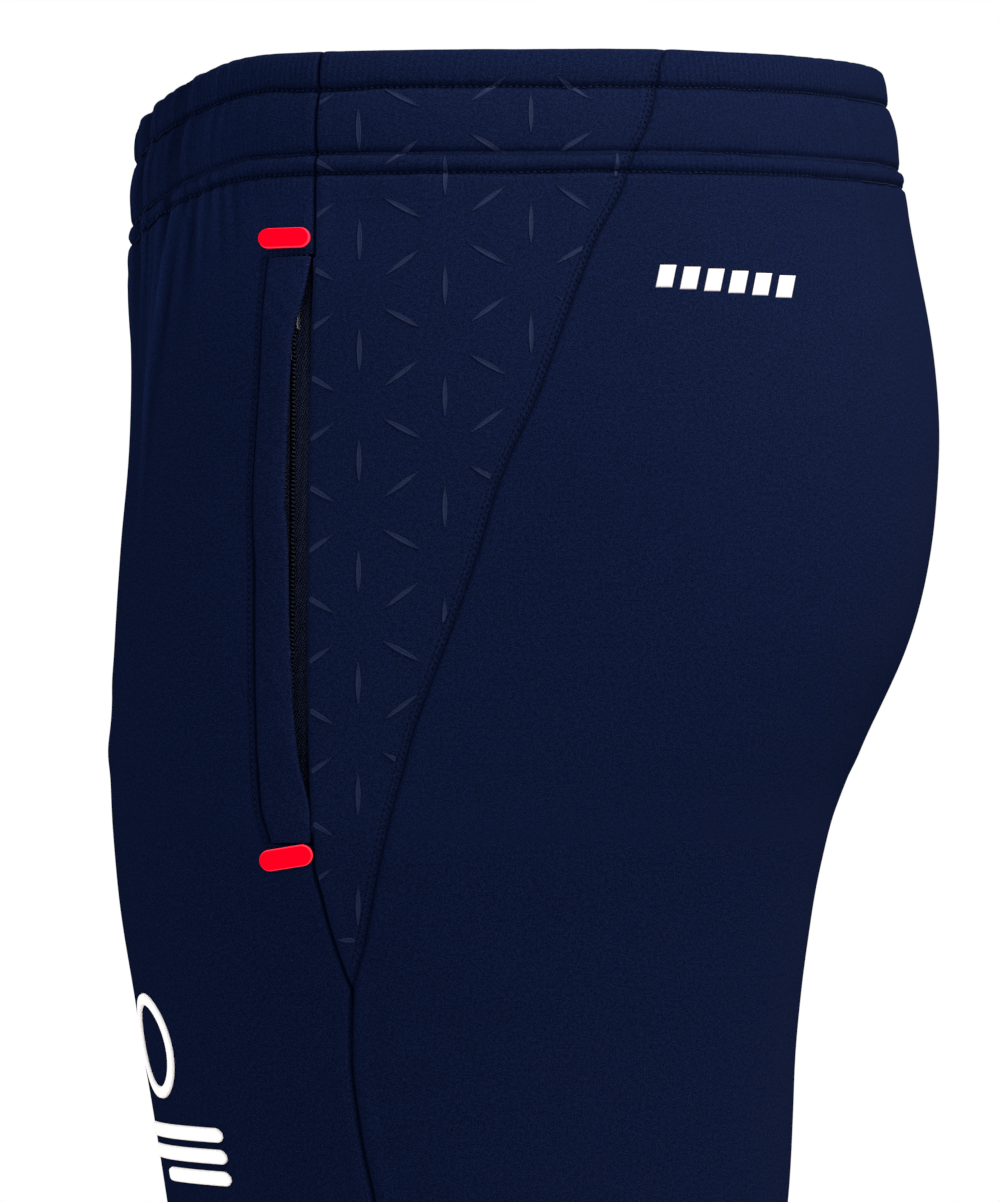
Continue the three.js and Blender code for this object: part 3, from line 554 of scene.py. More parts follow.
def panel(name, lo, hi, st, left, right, n_mid, side, mat, split=None):
    K = len(st)
    n2 = 12
    vo, oo, vi, oi, wt = map(np.array, zip(*st))
    T = []
    for k in range(K):
        if split is None:
            T.append(arc_columns(lo, hi, float(vo[k]), left, right, n_mid)[0])
        else:
            t1 = arc_columns(lo, split, float(vo[k]), left, [0], n_mid)[0]
            t2 = arc_columns(split, hi, float(vo[k]), [0], right, n2)[0]
            T.append(np.concatenate([t1 * 0.9, 0.9 + 0.1 * t2[1:]]))
    T = np.array(T)
    J = T.shape[1]

    def at(z, t):
        if split is None:
            return lo(z) + (hi(z) - lo(z)) * t
        m = split(z)
        return np.where(t <= 0.9, lo(z) + (m - lo(z)) * t / 0.9, m + (hi(z) - m) * (t - 0.9) / 0.1)
    out = []
    for v, o in ((vo, oo), (vi, oi)):
        V = np.repeat(v[:, None], J, 1)
        a0 = at(-V, T)
        Z = height_of(V, surf(a0, -V)[..., 1])
        a = at(Z, T)
        d, cr = disp(a, Z, V, side)
        S_ = surf(a, Z)
        P = shift(S_, normal(a, Z), o[:, None] + d * wt[:, None] + ease(S_[..., 1], Z))
        out.append((P, a, Z, cr, V))
    P, a, Z, cr, V = out[0]
    s = np.concatenate([np.zeros((K, 1)), np.cumsum(np.linalg.norm(np.diff(P, axis=1), axis=2), 1)], 1)
    s = s - s[:, J // 2:J // 2 + 1]
    down = np.cumsum(np.concatenate([np.zeros((1, J)), np.linalg.norm(np.diff(P, axis=0), axis=2)]), 0)
    uv = np.stack([s * 0.1, -down.mean(1)[:, None] * 0.1 + 0 * s], -1)
    Q = out[1][0]
    if side:
        P, Q = P * np.array([-1, 1, 1]), Q * np.array([-1, 1, 1])
    # flat size: the cut before it was folded and eased
    area = 0.0
    flatrow = []
    for k in range(K - 1):
        h = float(np.linalg.norm(P[k + 1, J // 2] - P[k, J // 2]))
        L = float(np.linalg.norm(np.diff(surf(a[k], Z[k]), axis=0), axis=1).sum())
        area += h * L
        flatrow.append(L)
    length = float(sum(np.linalg.norm(P[k + 1, J // 2] - P[k, J // 2]) for k in range(K - 1)))
    y = P[..., 1]
    rows3 = [gauss(V - r_, 5.0) for r_ in ROWS]
    rib = (0.35 + 0.65 * np.clip(np.abs(y) - 30, 0, 60) / 60) * (V < 60) * np.maximum(np.maximum(rows3[0], rows3[1]), np.maximum(rows3[2], gauss(V - 6, 6)))
    ob = shell_mesh(name, P, Q, mat, side=side, uv=uv, painted_shading=cr * wt[:, None], rib=rib * (wt[:, None] > 0.99))
    return ob, (max(flatrow) / 1000, length / 1000), area / 1e6


# ------------------------------------------------------------------ materials
def material(name, base, rough=0.9, spec=0.05, metal=0.0, sheen=0.0, sheen_tint=(1, 1, 1), emit=None,
             uv=False, scale=1.0, pattern="weave", depth=0.3, dist=0.0002, vary=0.12, painted_shading=0.0, heather=0.0, rib=0.0):
    """A procedural finish. With uv, the pattern lies in the cloth's own centimetres; else it uses object metres."""
    m = bpy.data.materials.new(name)
    m.use_nodes = True
    nt = m.node_tree
    nt.nodes.clear()
    N, L = nt.nodes.new, nt.links.new
    out = N("ShaderNodeOutputMaterial")
    p = N("ShaderNodeBsdfPrincipled")
    L(p.outputs[0], out.inputs[0])
    p.inputs["Roughness"].default_value = rough
    p.inputs["Specular IOR Level"].default_value = spec
    p.inputs["Metallic"].default_value = metal
    p.inputs["Sheen Weight"].default_value = sheen
    p.inputs["Sheen Roughness"].default_value = 0.45
    p.inputs["Sheen Tint"].default_value = (*sheen_tint, 1)
    if emit:
        p.inputs["Emission Color"].default_value = (*emit[:3], 1)
        p.inputs["Emission Strength"].default_value = emit[3]
    if uv:
        src = N("ShaderNodeUVMap")
        src.uv_map = "cloth"
        vec = src.outputs[0]
    else:
        vec = N("ShaderNodeTexCoord").outputs["Object"]

    def mapped(sx, sy, sz, rot=0.0):
        mp = N("ShaderNodeMapping")
        mp.inputs["Scale"].default_value = (sx, sy, sz)
        mp.inputs["Rotation"].default_value = (0, 0, rot)
        L(vec, mp.inputs["Vector"])
        return mp.outputs[0]

    def wave(sx, rot, kind="BANDS", direction="X", distortion=0.3):
        w = N("ShaderNodeTexWave")
        w.wave_type = kind
        w.bands_direction = direction
        w.inputs["Scale"].default_value = sx
        w.inputs["Distortion"].default_value = distortion
        w.inputs["Detail"].default_value = 1.0
        w.inputs["Detail Scale"].default_value = 3.0
        L(mapped(1, 1, 1, rot), w.inputs["Vector"])
        return w.outputs["Fac"]

    def noise(sc, det=2.0):
        n = N("ShaderNodeTexNoise")
        n.inputs["Scale"].default_value = sc
        n.inputs["Detail"].default_value = det
        L(mapped(1, 1, 1), n.inputs["Vector"])
        return n.outputs["Fac"]

    def math_(op, a, b):
        q = N("ShaderNodeMath")
        q.operation = op
        for i, x in enumerate((a, b)):
            if isinstance(x, (int, float)):
                q.inputs[i].default_value = x
            else:
                L(x, q.inputs[i])
        return q.outputs[0]

    if pattern == "weave":      # warp-knit: fine wales with short floats across them
        h = math_("MULTIPLY", wave(scale, 0.0), math_("ADD", math_("MULTIPLY", wave(scale * 0.8, PI / 2), 0.6), 0.4))
    elif pattern == "twill":
        h = math_("MAXIMUM", wave(scale, PI / 4), math_("MULTIPLY", wave(scale * 1.9, -PI / 4), 0.45))
    elif pattern == "rib":
        h = math_("ADD", math_("MULTIPLY", wave(scale, 0.0), 0.8), math_("MULTIPLY", wave(scale * 2.2, PI / 2), 0.25))
    elif pattern == "dots":
        h = math_("POWER", math_("MULTIPLY", wave(scale, PI / 3.2, distortion=0.0), wave(scale * 0.8, -PI / 7, distortion=0.0)), 0.9)
    elif pattern == "mesh":
        v_ = N("ShaderNodeTexVoronoi")
        v_.inputs["Scale"].default_value = scale
        v_.inputs["Randomness"].default_value = 0.12
        L(mapped(1, 1, 1), v_.inputs["Vector"])
        h = v_.outputs["Distance"]
    else:                       # grain
        h = noise(scale, 4.0)
    h = math_("ADD", h, math_("MULTIPLY", noise(scale * 0.35, 3.0), 0.35))
    b = N("ShaderNodeBump")
    b.inputs["Strength"].default_value = depth
    b.inputs["Distance"].default_value = dist
    L(h, b.inputs["Height"])
    L(b.outputs[0], p.inputs["Normal"])
    # colour: a little darker between the yarns and slowly mottled
    mott = noise(0.9 if uv else 45.0, 3.0)
    f = math_("ADD", 1.0 - vary * 0.75, math_("MULTIPLY", h, vary))
    f = math_("MULTIPLY", f, math_("ADD", 0.94, math_("MULTIPLY", mott, 0.12)))
    if heather:
        f = math_("MULTIPLY", f, math_("ADD", 0.5, math_("MULTIPLY", noise(7.5, 3.0), 1.0)))
    if heather:
        f = math_("MULTIPLY", f, math_("MAXIMUM", math_("ADD", 1.0 - heather, math_("MULTIPLY", noise(21.0, 2.0), 2 * heather)), 0.1))
    if rib:                     # eased fullness, seen as fine upright ribs
        ra = N("ShaderNodeAttribute")
        ra.attribute_name = "rib"
        w_ = math_("MULTIPLY", wave(1.53, 0.0, distortion=1.4), ra.outputs["Fac"])
        hb = math_("ADD", h, math_("MULTIPLY", w_, rib))
        L(hb, b.inputs["Height"])
        # painted shade and highlight: the ribs' crests are painted lighter and their troughs darker
        f = math_("MULTIPLY", f, math_("ADD", 1.0, math_("MULTIPLY", math_("SUBTRACT", w_, math_("MULTIPLY", ra.outputs["Fac"], 0.5)), 0.30)))
    # painted shade and highlight: the mesh's attribute darkens the colour where positive and lightens it where negative
    if painted_shading:
        at = N("ShaderNodeAttribute")
        at.attribute_name = "painted_shading"
        f = math_("MULTIPLY", f, math_("SUBTRACT", 1.0, math_("MULTIPLY", at.outputs["Fac"], painted_shading)))
    col = N("ShaderNodeVectorMath")
    col.operation = "SCALE"
    col.inputs[0].default_value = base
    L(f, col.inputs["Scale"])
    L(col.outputs[0], p.inputs["Base Color"])
    MATS[name] = m
    return m


NAVY = (0.0027, 0.0057, 0.0240)
material("cloth_navy", NAVY, 0.92, 0.0, sheen=0.0015, sheen_tint=(0.75, 0.85, 1.0), uv=True, scale=4.6, pattern="twill", depth=0.30, dist=0.012, vary=0.34, painted_shading=0.8, heather=1.4, rib=1.3)
material("cloth_side", (0.0029, 0.0060, 0.0247), 0.92, 0.0, sheen=0.0015, sheen_tint=(0.75, 0.85, 1.0), uv=True, scale=4.9, pattern="twill", depth=0.30, dist=0.012, vary=0.34, painted_shading=0.8, heather=1.4, rib=1.3)
material("cloth_welt", (0.0027, 0.0055, 0.0232), 0.92, 0.0, sheen=0.0015, sheen_tint=(0.75, 0.85, 1.0), uv=True, scale=4.9, pattern="twill", depth=0.28, dist=0.012, vary=0.30, painted_shading=0.8, heather=1.4, rib=1.3)
material("emboss", (0.0088, 0.0150, 0.0470), 0.85, 0.03, scale=1500.0, pattern="grain", depth=0.35, dist=0.0001, vary=0.9)
material("thread", (0.0036, 0.0080, 0.0330), 0.85, 0.05, scale=2600.0, pattern="twill", depth=0.4, dist=0.0001)
material("thread_cover", (0.0007, 0.0016, 0.0080), 0.9, 0.02, scale=2600.0, pattern="twill", depth=0.4, dist=0.0001)
# the tape's strong dark-and-light weave pattern is partly its weave and partly painted shade of the weave's relief
material("tape", (0.0460, 0.0640, 0.1500), 0.9, 0.02, uv=True, scale=4.7, pattern="dots", depth=0.5, dist=0.01, vary=1.25, painted_shading=0.9)
material("coil", (0.045, 0.060, 0.110), 0.45, 0.5, scale=900.0, pattern="grain", depth=0.1, dist=0.0001)
material("zip_metal", (0.60, 0.64, 0.72), 0.40, 0.5, metal=0.85, scale=700.0, pattern="grain", depth=0.12, dist=0.0001)
material("stop", (0.03, 0.035, 0.05), 0.4, 0.5, metal=0.7, scale=700.0, pattern="grain", depth=0.12, dist=0.0001)
# the pocket tabs glow a little (emission): painted light that keeps their red flat and bright; the rim glows a shade
# lighter, a painted highlight on the tab's edge
material("red", (0.55, 0.0, 0.0070), 0.8, 0.0, emit=(1.0, 0.0, 0.0150, 0.50), scale=900.0, pattern="rib", depth=0.10, dist=0.0001, vary=0.03)
material("red_rim", (0.55, 0.02, 0.045), 0.8, 0.0, emit=(1.0, 0.030, 0.070, 0.54), scale=900.0, pattern="rib", depth=0.10, dist=0.0001, vary=0.03)
material("white", (0.86, 0.87, 0.90), 0.7, 0.2, scale=1100.0, pattern="twill", depth=0.35, dist=0.0001, vary=0.06)
material("silver", (0.40, 0.43, 0.50), 0.5, 0.4, scale=1300.0, pattern="grain", depth=0.15, dist=0.0001, vary=0.08)
material("elastic", (0.006, 0.009, 0.020), 0.9, 0.1, scale=420.0, pattern="rib", depth=0.5, dist=0.0002)
material("bag_mesh", (0.004, 0.007, 0.020), 0.95, 0.05, scale=700.0, pattern="mesh", depth=0.6, dist=0.0002, vary=0.5)
material("label", (0.72, 0.73, 0.74), 0.6, 0.2, scale=1600.0, pattern="weave", depth=0.2, dist=0.0001, vary=0.05)


def finish_piece(ob, node=None, body="trousers"):
    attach(ob, body)
    if node:
        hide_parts(*([node] if isinstance(node, str) else node))
    return ob


# ------------------------------------------------------------------ cloth panels
SIDES = ((0, "left"), (1, "right"))
step_top, step_mid, step_leg = ((0.8, 2.0, 5.0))
v_rows = list(np.arange(2.3, 66, step_top)) + list(np.arange(66, 290, step_mid)) + list(np.arange(290, 1016, step_leg))
v_rows += [61.35, 61.95, 238.8, 239.4, 994.5, 996.2, 997.5, 998.8]
v_rows = sorted(v for v in v_rows if v < HEM_Z - FOLD_R - 0.2)
v_leg = [v_rows[0]] + [b for a, b in zip(v_rows, v_rows[1:]) if b - a > 0.12]
v_gore = [v for v in v_leg if v < -GORE_END] + [-GORE_END]
EDGE = [0, 0.3, 0.65, 1.05, 1.5, 2.1, 2.9]
nf, ng, nb = ((165, 96, 190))
panels = []
for side, word in SIDES:
    for kind, lo, hi, rows_, n, mat, hem in (("front_panel", aF, aFE, v_leg, nf, "cloth_navy", True),
                                              ("side_gore", aGM, aB, v_gore, ng, "cloth_side", False),
                                              ("back_panel", aB, aK, v_leg, nb, "cloth_navy", True)):
        ob, flat, area = panel(f"{kind}_cloth_{word}", lo, hi, stations(rows_, hem), EDGE, EDGE, n, side, mat, aX if kind == "front_panel" else None)
        finish_piece(ob, f"{kind}_{word}")
        panels.append(ob)


# ------------------------------------------------------------------ small builders
def grid_piece(name, outer, inner, mat, side=0, step=1, wrap=False, uv=None):
    return shell_mesh(name, np.asarray(outer), np.asarray(inner), mat, side=side, step=step, wrap=wrap, uv=uv)


def thread_mesh(name, C, T, N, length, radius, mat, arch=0.10):
    """Short sewn stitches: spindles of yarn that dip into the cloth at both ends."""
    C, T, N = map(np.asarray, (C, T, N))
    T = unit(T - (T * N).sum(-1, keepdims=True) * N)
    B = np.cross(N, T)
    M, S = len(C), 6
    prof = [(-1.0, 0.0), (-0.72, 0.72), (0.0, 1.0), (0.72, 0.72), (1.0, 0.0)]
    rings = []
    for t, r in prof:
        base = C + T * (t * length / 2) + N * (arch * (1 - 2.0 * t * t))
        if r == 0:
            rings.append(base[:, None])
            continue
        an = np.arange(S) * 2 * PI / S
        rings.append(base[:, None] + radius * r * (np.cos(an)[None, :, None] * B[:, None] + 0.8 * np.sin(an)[None, :, None] * N[:, None]))
    V = np.concatenate(rings, 1)
    per = V.shape[1]
    f = []
    for i in range(S):
        j = (i + 1) % S
        f.append((0, 1 + j, 1 + i))
        f.append((1 + i, 1 + j, 1 + S + j, 1 + S + i))
        f.append((1 + S + i, 1 + S + j, 1 + 2 * S + j, 1 + 2 * S + i))
        f.append((1 + 2 * S + i, 1 + 2 * S + j, 1 + 3 * S))
    faces = [tuple(int(x) + per * m for x in q) for m in range(M) for q in f]
    # the winding follows the basis B, N, T
    test = np.dot(np.cross(B[0], N[0]), T[0])
    return make_mesh(name, V.reshape(-1, 3), faces, mat, flip=test > 0)


def resample(P, pitch, start=0.5):
    s = np.concatenate([[0], np.cumsum(np.linalg.norm(np.diff(P, axis=0), axis=1))])
    at = np.arange(start * pitch, s[-1] - 0.3 * pitch, pitch)
    return at, s


def along(P, N, pitch):
    at, s = resample(P, pitch)
    q = lambda x: np.stack([np.interp(x, s, P[:, c]) for c in range(3)], -1)
    n = unit(np.stack([np.interp(at, s, N[:, c]) for c in range(3)], -1))
    return q(at), unit(q(at + 0.3) - q(at - 0.3)), n


def seam_run(pairs, pitch):
    C, T, N = [], [], []
    for a, z, side, h in pairs:
        P, Q = place(a, z, side, h)
        c, t, n = along(P, Q, pitch)
        C.append(c), T.append(t), N.append(n)
    return np.concatenate(C), np.concatenate(T), np.concatenate(N)


# waist rows
def band_line(k, side, n=900):
    q = np.linspace(0.002, 0.998, n)
    v = row_v(k, q * 430.0 + 100 * side)
    a0 = aF(-v) + (aK(-v) - aF(-v)) * q
    z = height_of(v, surf(a0, -v)[..., 1])
    return aF(z) + (aK(z) - aF(z)) * q, z


C, T, N = seam_run([(*band_line(k, s_), s_, 0.16) for k in range(3) for s_, _ in SIDES], 2.05)
waist_thread = finish_piece(thread_mesh("waist_rows_thread", C, T, N, 1.28, 0.24, "thread", 0.18))

# coverstitch on the gore, beside the rear seam
Z = np.linspace(-3, -277, 1400)
yB = np.interp(-Z, -ZG, cubic(SEAM_B, ZG, 1))
CC, TT_, NN = [], [], []
for side, _ in SIDES:
    for off_, tilt_ in ((0.95, 0.5), (2.35, -0.35)):
        c, t, n = seam_run([(angle_at_y(yB - off_, Z), Z, side, 0.10)], 1.9)
        across = np.cross(n, t)
        CC.append(c), TT_.append(unit(across + tilt_ * t) if off_ < 1.5 else t), NN.append(n)
finish_piece(thread_mesh("gore_coverstitch", np.concatenate(CC), np.concatenate(TT_), np.concatenate(NN), 1.15, 0.17, "thread_cover", 0.06))

# topstitch beside the side seam, hem rows, welt rows, ends of the pocket mouth
runs = []
for side, _ in SIDES:
    Z = np.linspace(-288, -992, 2600)
    y = np.interp(-Z, -ZG, cubic(SEAM_A, ZG, 1)) - 1.6
    runs.append((angle_at_y(y, Z), Z, side, 0.02))
    for v in (HEM_Z - 22.5, HEM_Z - 19.3):
        q = np.linspace(0.003, 0.997, 700)
        Z = np.full(q.shape, -v)
        runs.append((aF(Z) + (aK(Z) - aF(Z)) * q, Z, side, 0.10))
    Z = np.linspace(POCKET_TOP - 0.5, POCKET_BOT + 0.5, 900)
    wf = np.interp(-Z, -ZG, cubic(WELT_FRONT, ZG, 1))
    runs.append((angle_at_y(wf - 1.45, Z), Z, side, 0.05))
    for ez, tilt in ((POCKET_TOP + 0.1, 0.0), (POCKET_TOP + 1.3, 0.0), (POCKET_BOT - 0.5, 0.17), (POCKET_BOT - 1.9, 0.17)):
        y = np.linspace(-70.4, -57.2, 60)
        Z = ez + tilt * (y + 64)
        runs.append((angle_at_y(y, Z), Z, side, 0.08))
C, T, N = seam_run(runs, 1.95)
finish_piece(thread_mesh("topstitch_thread", C, T, N, 1.4, 0.19, "thread", 0.12))


# ------------------------------------------------------------------ pocket welt: doubled strip with a rolled free edge
for side, word in SIDES:
    Z = np.linspace(POCKET_TOP - 0.4, POCKET_BOT + 0.5, 330)
    y0 = np.interp(-Z, -ZG, cubic(WELT_FRONT, ZG, 1)) + 0.12
    y1 = np.minimum(np.interp(-Z, -ZG, cubic(WELT_EDGE, ZG, 1)), np.interp(-Z, -ZG, cubic(SEAM_A, ZG, 1)) - 0.3)
    W = (y1 - y0)
    u = np.concatenate([[0, 0.02, 0.05], np.linspace(0.09, 0.86, 22), [0.89, 0.92, 0.945, 0.965, 0.98, 0.992, 1.0]])
    Y = y0[:, None] + W[:, None] * u[None]
    ZZ = np.repeat(Z[:, None], len(u), 1)
    A = angle_at_y(Y, ZZ)
    P0, Nn = place_smooth(A, ZZ, 0)
    e1, e0 = (1 - u)[None] * W[:, None], u[None] * W[:, None]
    roll = 0.8 * (1 - np.sqrt(np.clip(1 - np.clip(1 - e1 / 0.8, 0, 1) ** 2, 0, 1)))
    lead = 0.65 * gauss(e0, 0.7)
    soft = 0.22 * noise1(ZZ / 13.0 + 3 * side, 301) + 0.10 * noise1(ZZ / 4.7 + Y / 3.0, 302)
    top = 0.45 - roll - lead + soft * np.clip(e1 / 3, 0, 1) + 0.25 * np.sin(PI * u)[None]
    under = np.minimum(top - 0.08, -1.5 + roll)
    outer, inner = P0 + Nn * top[..., None], P0 + Nn * under[..., None]
    uv = np.stack([Y * 0.1, ZZ * 0.1], -1)
    if side:
        outer, inner = outer * np.array([-1, 1, 1]), inner * np.array([-1, 1, 1])
    # painted shade along the welt's sewn front edge; painted highlight along its rolled free edge and in the sheen
    # patch round the pocket top
    cr = 0.9 * gauss(e0, 0.35) - (painted_sheen_patch(Y, ZZ) + 0.12 * gauss(e1, 3.0)) * (1 - gauss(e0, 0.35))
    ob = shell_mesh(f"pocket_welt_cloth_{word}", outer, inner, "cloth_welt", side=side, step=1, uv=uv, painted_shading=cr)
    finish_piece(ob, f"pocket_welt_{word}")


# ------------------------------------------------------------------ zip
JN = {j["name"]: j for j in frame["joints"]}
ZD = unit(np.array(JN["zip_slide_left"]["axis"], float))
_ax = unit(np.array(JN["zip_pull_swing_left"]["axis"], float))      # across the chain
ZW = _ax if _ax[1] > 0 else -_ax
ZN = np.cross(ZW, ZD)
ZN = unit(ZN if ZN[0] > 0 else -ZN)
S0, PH = 13.5, 3.4                                                   # slider's centre, pull's pivot over the chain
PV = S0 + 0.9
ZTOP = np.array(JN["zip_pull_swing_left"]["pos_m"], float) * 1000 - PV * ZD - PH * ZN
lo_, hi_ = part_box("zip_tape_rear_left")
ZLEN = (np.array(hi_) - np.array(lo_))[2] * 1000
ZLEN = (ZLEN - 11.3 * abs(ZW[2]) - 0.6 * abs(ZN[2])) / abs(ZD[2]) - 5.0


def zp(w, h, s, side):
    w, h, s = np.broadcast_arrays(np.asarray(w, float), np.asarray(h, float), np.asarray(s, float))
    P = ZTOP + w[..., None] * ZW + h[..., None] * ZN + s[..., None] * ZD
    return P * np.array([-1, 1, 1]) if side else P


def zdir(v, side):
    return v * np.array([-1, 1, 1]) if side else v


def rbox(bm, w0, w1, h0, h1, s0, s1, side, r=0.22, seg=2):
    """A rounded bar in the zip's own axes, added to bm."""
    tmp = bmesh.new()
    bmesh.ops.create_cube(tmp, size=1.0)
    for v in tmp.verts:
        v.co.x = (w0 + w1) / 2 + v.co.x * (w1 - w0)
        v.co.y = (h0 + h1) / 2 + v.co.y * (h1 - h0)
        v.co.z = (s0 + s1) / 2 + v.co.z * (s1 - s0)
    bmesh.ops.bevel(tmp, geom=tmp.edges[:], offset=r, segments=seg, affect="EDGES", profile=0.5)
    vs = {}
    for v in tmp.verts:
        vs[v.index] = bm.verts.new(zp(v.co.x, v.co.y, v.co.z, side) * 0.001)
    for f in tmp.faces:
        bm.faces.new([vs[v.index] for v in f.verts])
    tmp.free()


def bm_object(name, bm, mat, smooth_=True):
    bmesh.ops.recalc_face_normals(bm, faces=bm.faces[:])
    me = bpy.data.meshes.new(name)
    bm.to_mesh(me)
    bm.free()
    if smooth_:
        me.polygons.foreach_set("use_smooth", np.ones(len(me.polygons), bool))
    me.materials.append(MATS[mat])
    ob = bpy.data.objects.new(name, me)
    bpy.context.scene.collection.objects.link(ob)
    return ob


PITCH = 1.27
for side, word in SIDES:
    for half, w0, w1 in (("front", -12.0, -0.7), ("rear", 0.7, 12.0)):
        s = np.linspace(-2.5, ZLEN + 2.5, 400)
        w = np.linspace(w0, w1, 34)
        SS, WW = np.meshgrid(s, w, indexing="ij")
        rib = 0.5 + 0.5 * np.cos(2 * PI * (SS * 0.62 + WW * (0.9 if half == "rear" else -0.9)) / 1.25)
        edge = np.exp(-(np.minimum(np.abs(WW - w0), np.abs(WW - w1)) / 0.25) ** 2)
        wav = 0.12 * noise1(SS / 21.0, 400 + side) * np.clip(np.abs(WW) / 8, 0, 1)
        top = 0.06 + 0.22 * rib - 0.12 * edge + wav
        bot = -0.30 + wav
        # painted shadow: the tape's outer part, under the gore's edge, is painted darker
        shade = 0.85 * smooth(4.6, 7.2, np.abs(WW)) + 0.0 * SS
        ob = shell_mesh(f"zip_tape_{half}_woven_{word}", zp(WW, top, SS, side), zp(WW, bot, SS, side), "tape", side=side, step=2,
                        uv=np.stack([WW * 0.1, SS * 0.1], -1), painted_shading=shade)
        finish_piece(ob, f"zip_tape_{half}_{word}")
        # the coil: one rounded loop of monofilament per tooth
        sg = 1 if half == "rear" else -1
        bm = bmesh.new()
        n = int((ZLEN - 4.6) / PITCH)
        seg, ring = ((8, 12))
        for i in range(n):
            sc = 2.6 + i * PITCH + (0.5 * PITCH if half == "rear" else 0.0)
            if sc > ZLEN - 2.7:
                continue
            # closed loop: an elongated ring in the w-h plane, leaning along the chain
            loop = []
            for a in np.arange(ring) * 2 * PI / ring:
                cw = 1.42 + 0.46 * math.cos(a)
                ch = 1.2 + 0.42 * math.sin(a)
                loop.append((sg * cw, ch, sc + 0.16 * math.cos(a)))
            loop = np.array(loop)
            tan = unit(np.roll(loop, -1, 0) - np.roll(loop, 1, 0))
            b1 = unit(np.cross(tan, np.array([0, 0, 1.0])))
            b2 = np.cross(tan, b1)
            grid = []
            for k in range(ring):
                row = []
                for a in np.arange(seg) * 2 * PI / seg:
                    p = loop[k] + 0.24 * (math.cos(a) * b1[k] + math.sin(a) * b2[k])
                    row.append(bm.verts.new(zp(p[0], p[1], p[2], side) * 0.001))
                grid.append(row)
            for k in range(ring):
                for j in range(seg):
                    bm.faces.new((grid[k][j], grid[k][(j + 1) % seg], grid[(k + 1) % ring][(j + 1) % seg], grid[(k + 1) % ring][j]))
        ob = bm_object(f"zip_coil_{half}_loops_{word}", bm, "coil")
        finish_piece(ob, f"zip_coil_{half}_{word}")
    # stops: crimped bars with two grooves
    for nm, s0, s1, wd, h1 in (("top", -0.4, 1.8, 2.5, 2.1), ("bottom", ZLEN - 1.8, ZLEN + 0.6, 2.7, 2.2)):
        bm = bmesh.new()
        k = 3
        for i in range(k):
            a, b = s0 + (s1 - s0) * i / k, s0 + (s1 - s0) * (i + 1) / k
            rbox(bm, -wd, wd, 0.5, h1 - (0.12 if i == 1 else 0.0), a - 0.06 * (i > 0), b + 0.06 * (i < k - 1), side, 0.18, 3)
        rbox(bm, -wd * 0.8, wd * 0.8, 0.35, 0.7, s0 + 0.3, s1 - 0.3, side, 0.12, 2)
        finish_piece(bm_object(f"zip_{nm}_stop_crimp_{word}", bm, "stop"), f"zip_{nm}_stop_{word}")
    # slider
    L_ = 4.4
    bm = bmesh.new()
    for top in (True, False):
        h0, h1 = (2.2, 2.9) if top else (-1.3, -0.6)
        # waisted plate: a closed outline with a tapered mouth end
        outl = []
        for i in range(40):
            a = 2 * PI * i / 40
            c, s_ = math.cos(a), math.sin(a)
            ln = L_ * np.sign(c) * abs(c) ** 0.55
            wd = 3.4 * np.sign(s_) * abs(s_) ** 0.5 * (0.84 + 0.16 * math.cos((ln + 4.4) / 8.8 * PI))
            outl.append((wd, S0 + ln))
        rings = []
        for hh, k in ((h0, 0.93), (h0 + 0.14, 1.0), (h1 - 0.18, 1.0), (h1, 0.92)):
            rings.append([bm.verts.new(zp(w_ * k, hh, S0 + (s_ - S0) * k, side) * 0.001) for w_, s_ in outl])
        for r in range(3):
            for i in range(40):
                j = (i + 1) % 40
                bm.faces.new((rings[r][i], rings[r][j], rings[r + 1][j], rings[r + 1][i]))
        bm.faces.new(rings[0])
        bm.faces.new(list(reversed(rings[3])))
    rbox(bm, -0.42, 0.42, -0.75, 2.35, S0 - L_ + 0.3, S0 - 0.6, side, 0.15, 3)
    for sg in (-1, 1):
        rbox(bm, sg * 3.12 - 0.27, sg * 3.12 + 0.27, 0.7, 2.4, S0 - 3.3, S0 + 3.3, side, 0.2, 3)
    # arched bridge
    pts = []
    for i in range(17):
        t = i / 16
        ang_ = PI * (1 - t)
        pts.append((2.75 + 1.62 * math.sin(ang_) ** 0.7, S0 + 0.2 + 2.25 * math.cos(ang_)))
    prev = None
    for i, (h_, s_) in enumerate(pts):
        q = pts[min(i + 1, 16)], pts[max(i - 1, 0)]
        th, ts = q[0][0] - q[1][0], q[0][1] - q[1][1]
        ln = math.hypot(th, ts)
        nh, ns = -ts / ln, th / ln
        row = []
        for a in np.arange(10) * 2 * PI / 10:
            row.append(bm.verts.new(zp(0.58 * math.cos(a), h_ + 0.26 * math.sin(a) * nh, s_ + 0.26 * math.sin(a) * ns, side) * 0.001))
        if prev:
            for j in range(10):
                bm.faces.new((prev[j], prev[(j + 1) % 10], row[(j + 1) % 10], row[j]))
        else:
            bm.faces.new(row)
        prev = row
    bm.faces.new(list(reversed(prev)))
    ob = bm_object(f"zip_slider_body_{word}", bm, "zip_metal")
    finish_piece(ob, f"zip_slider_{word}", f"slider_{word}")
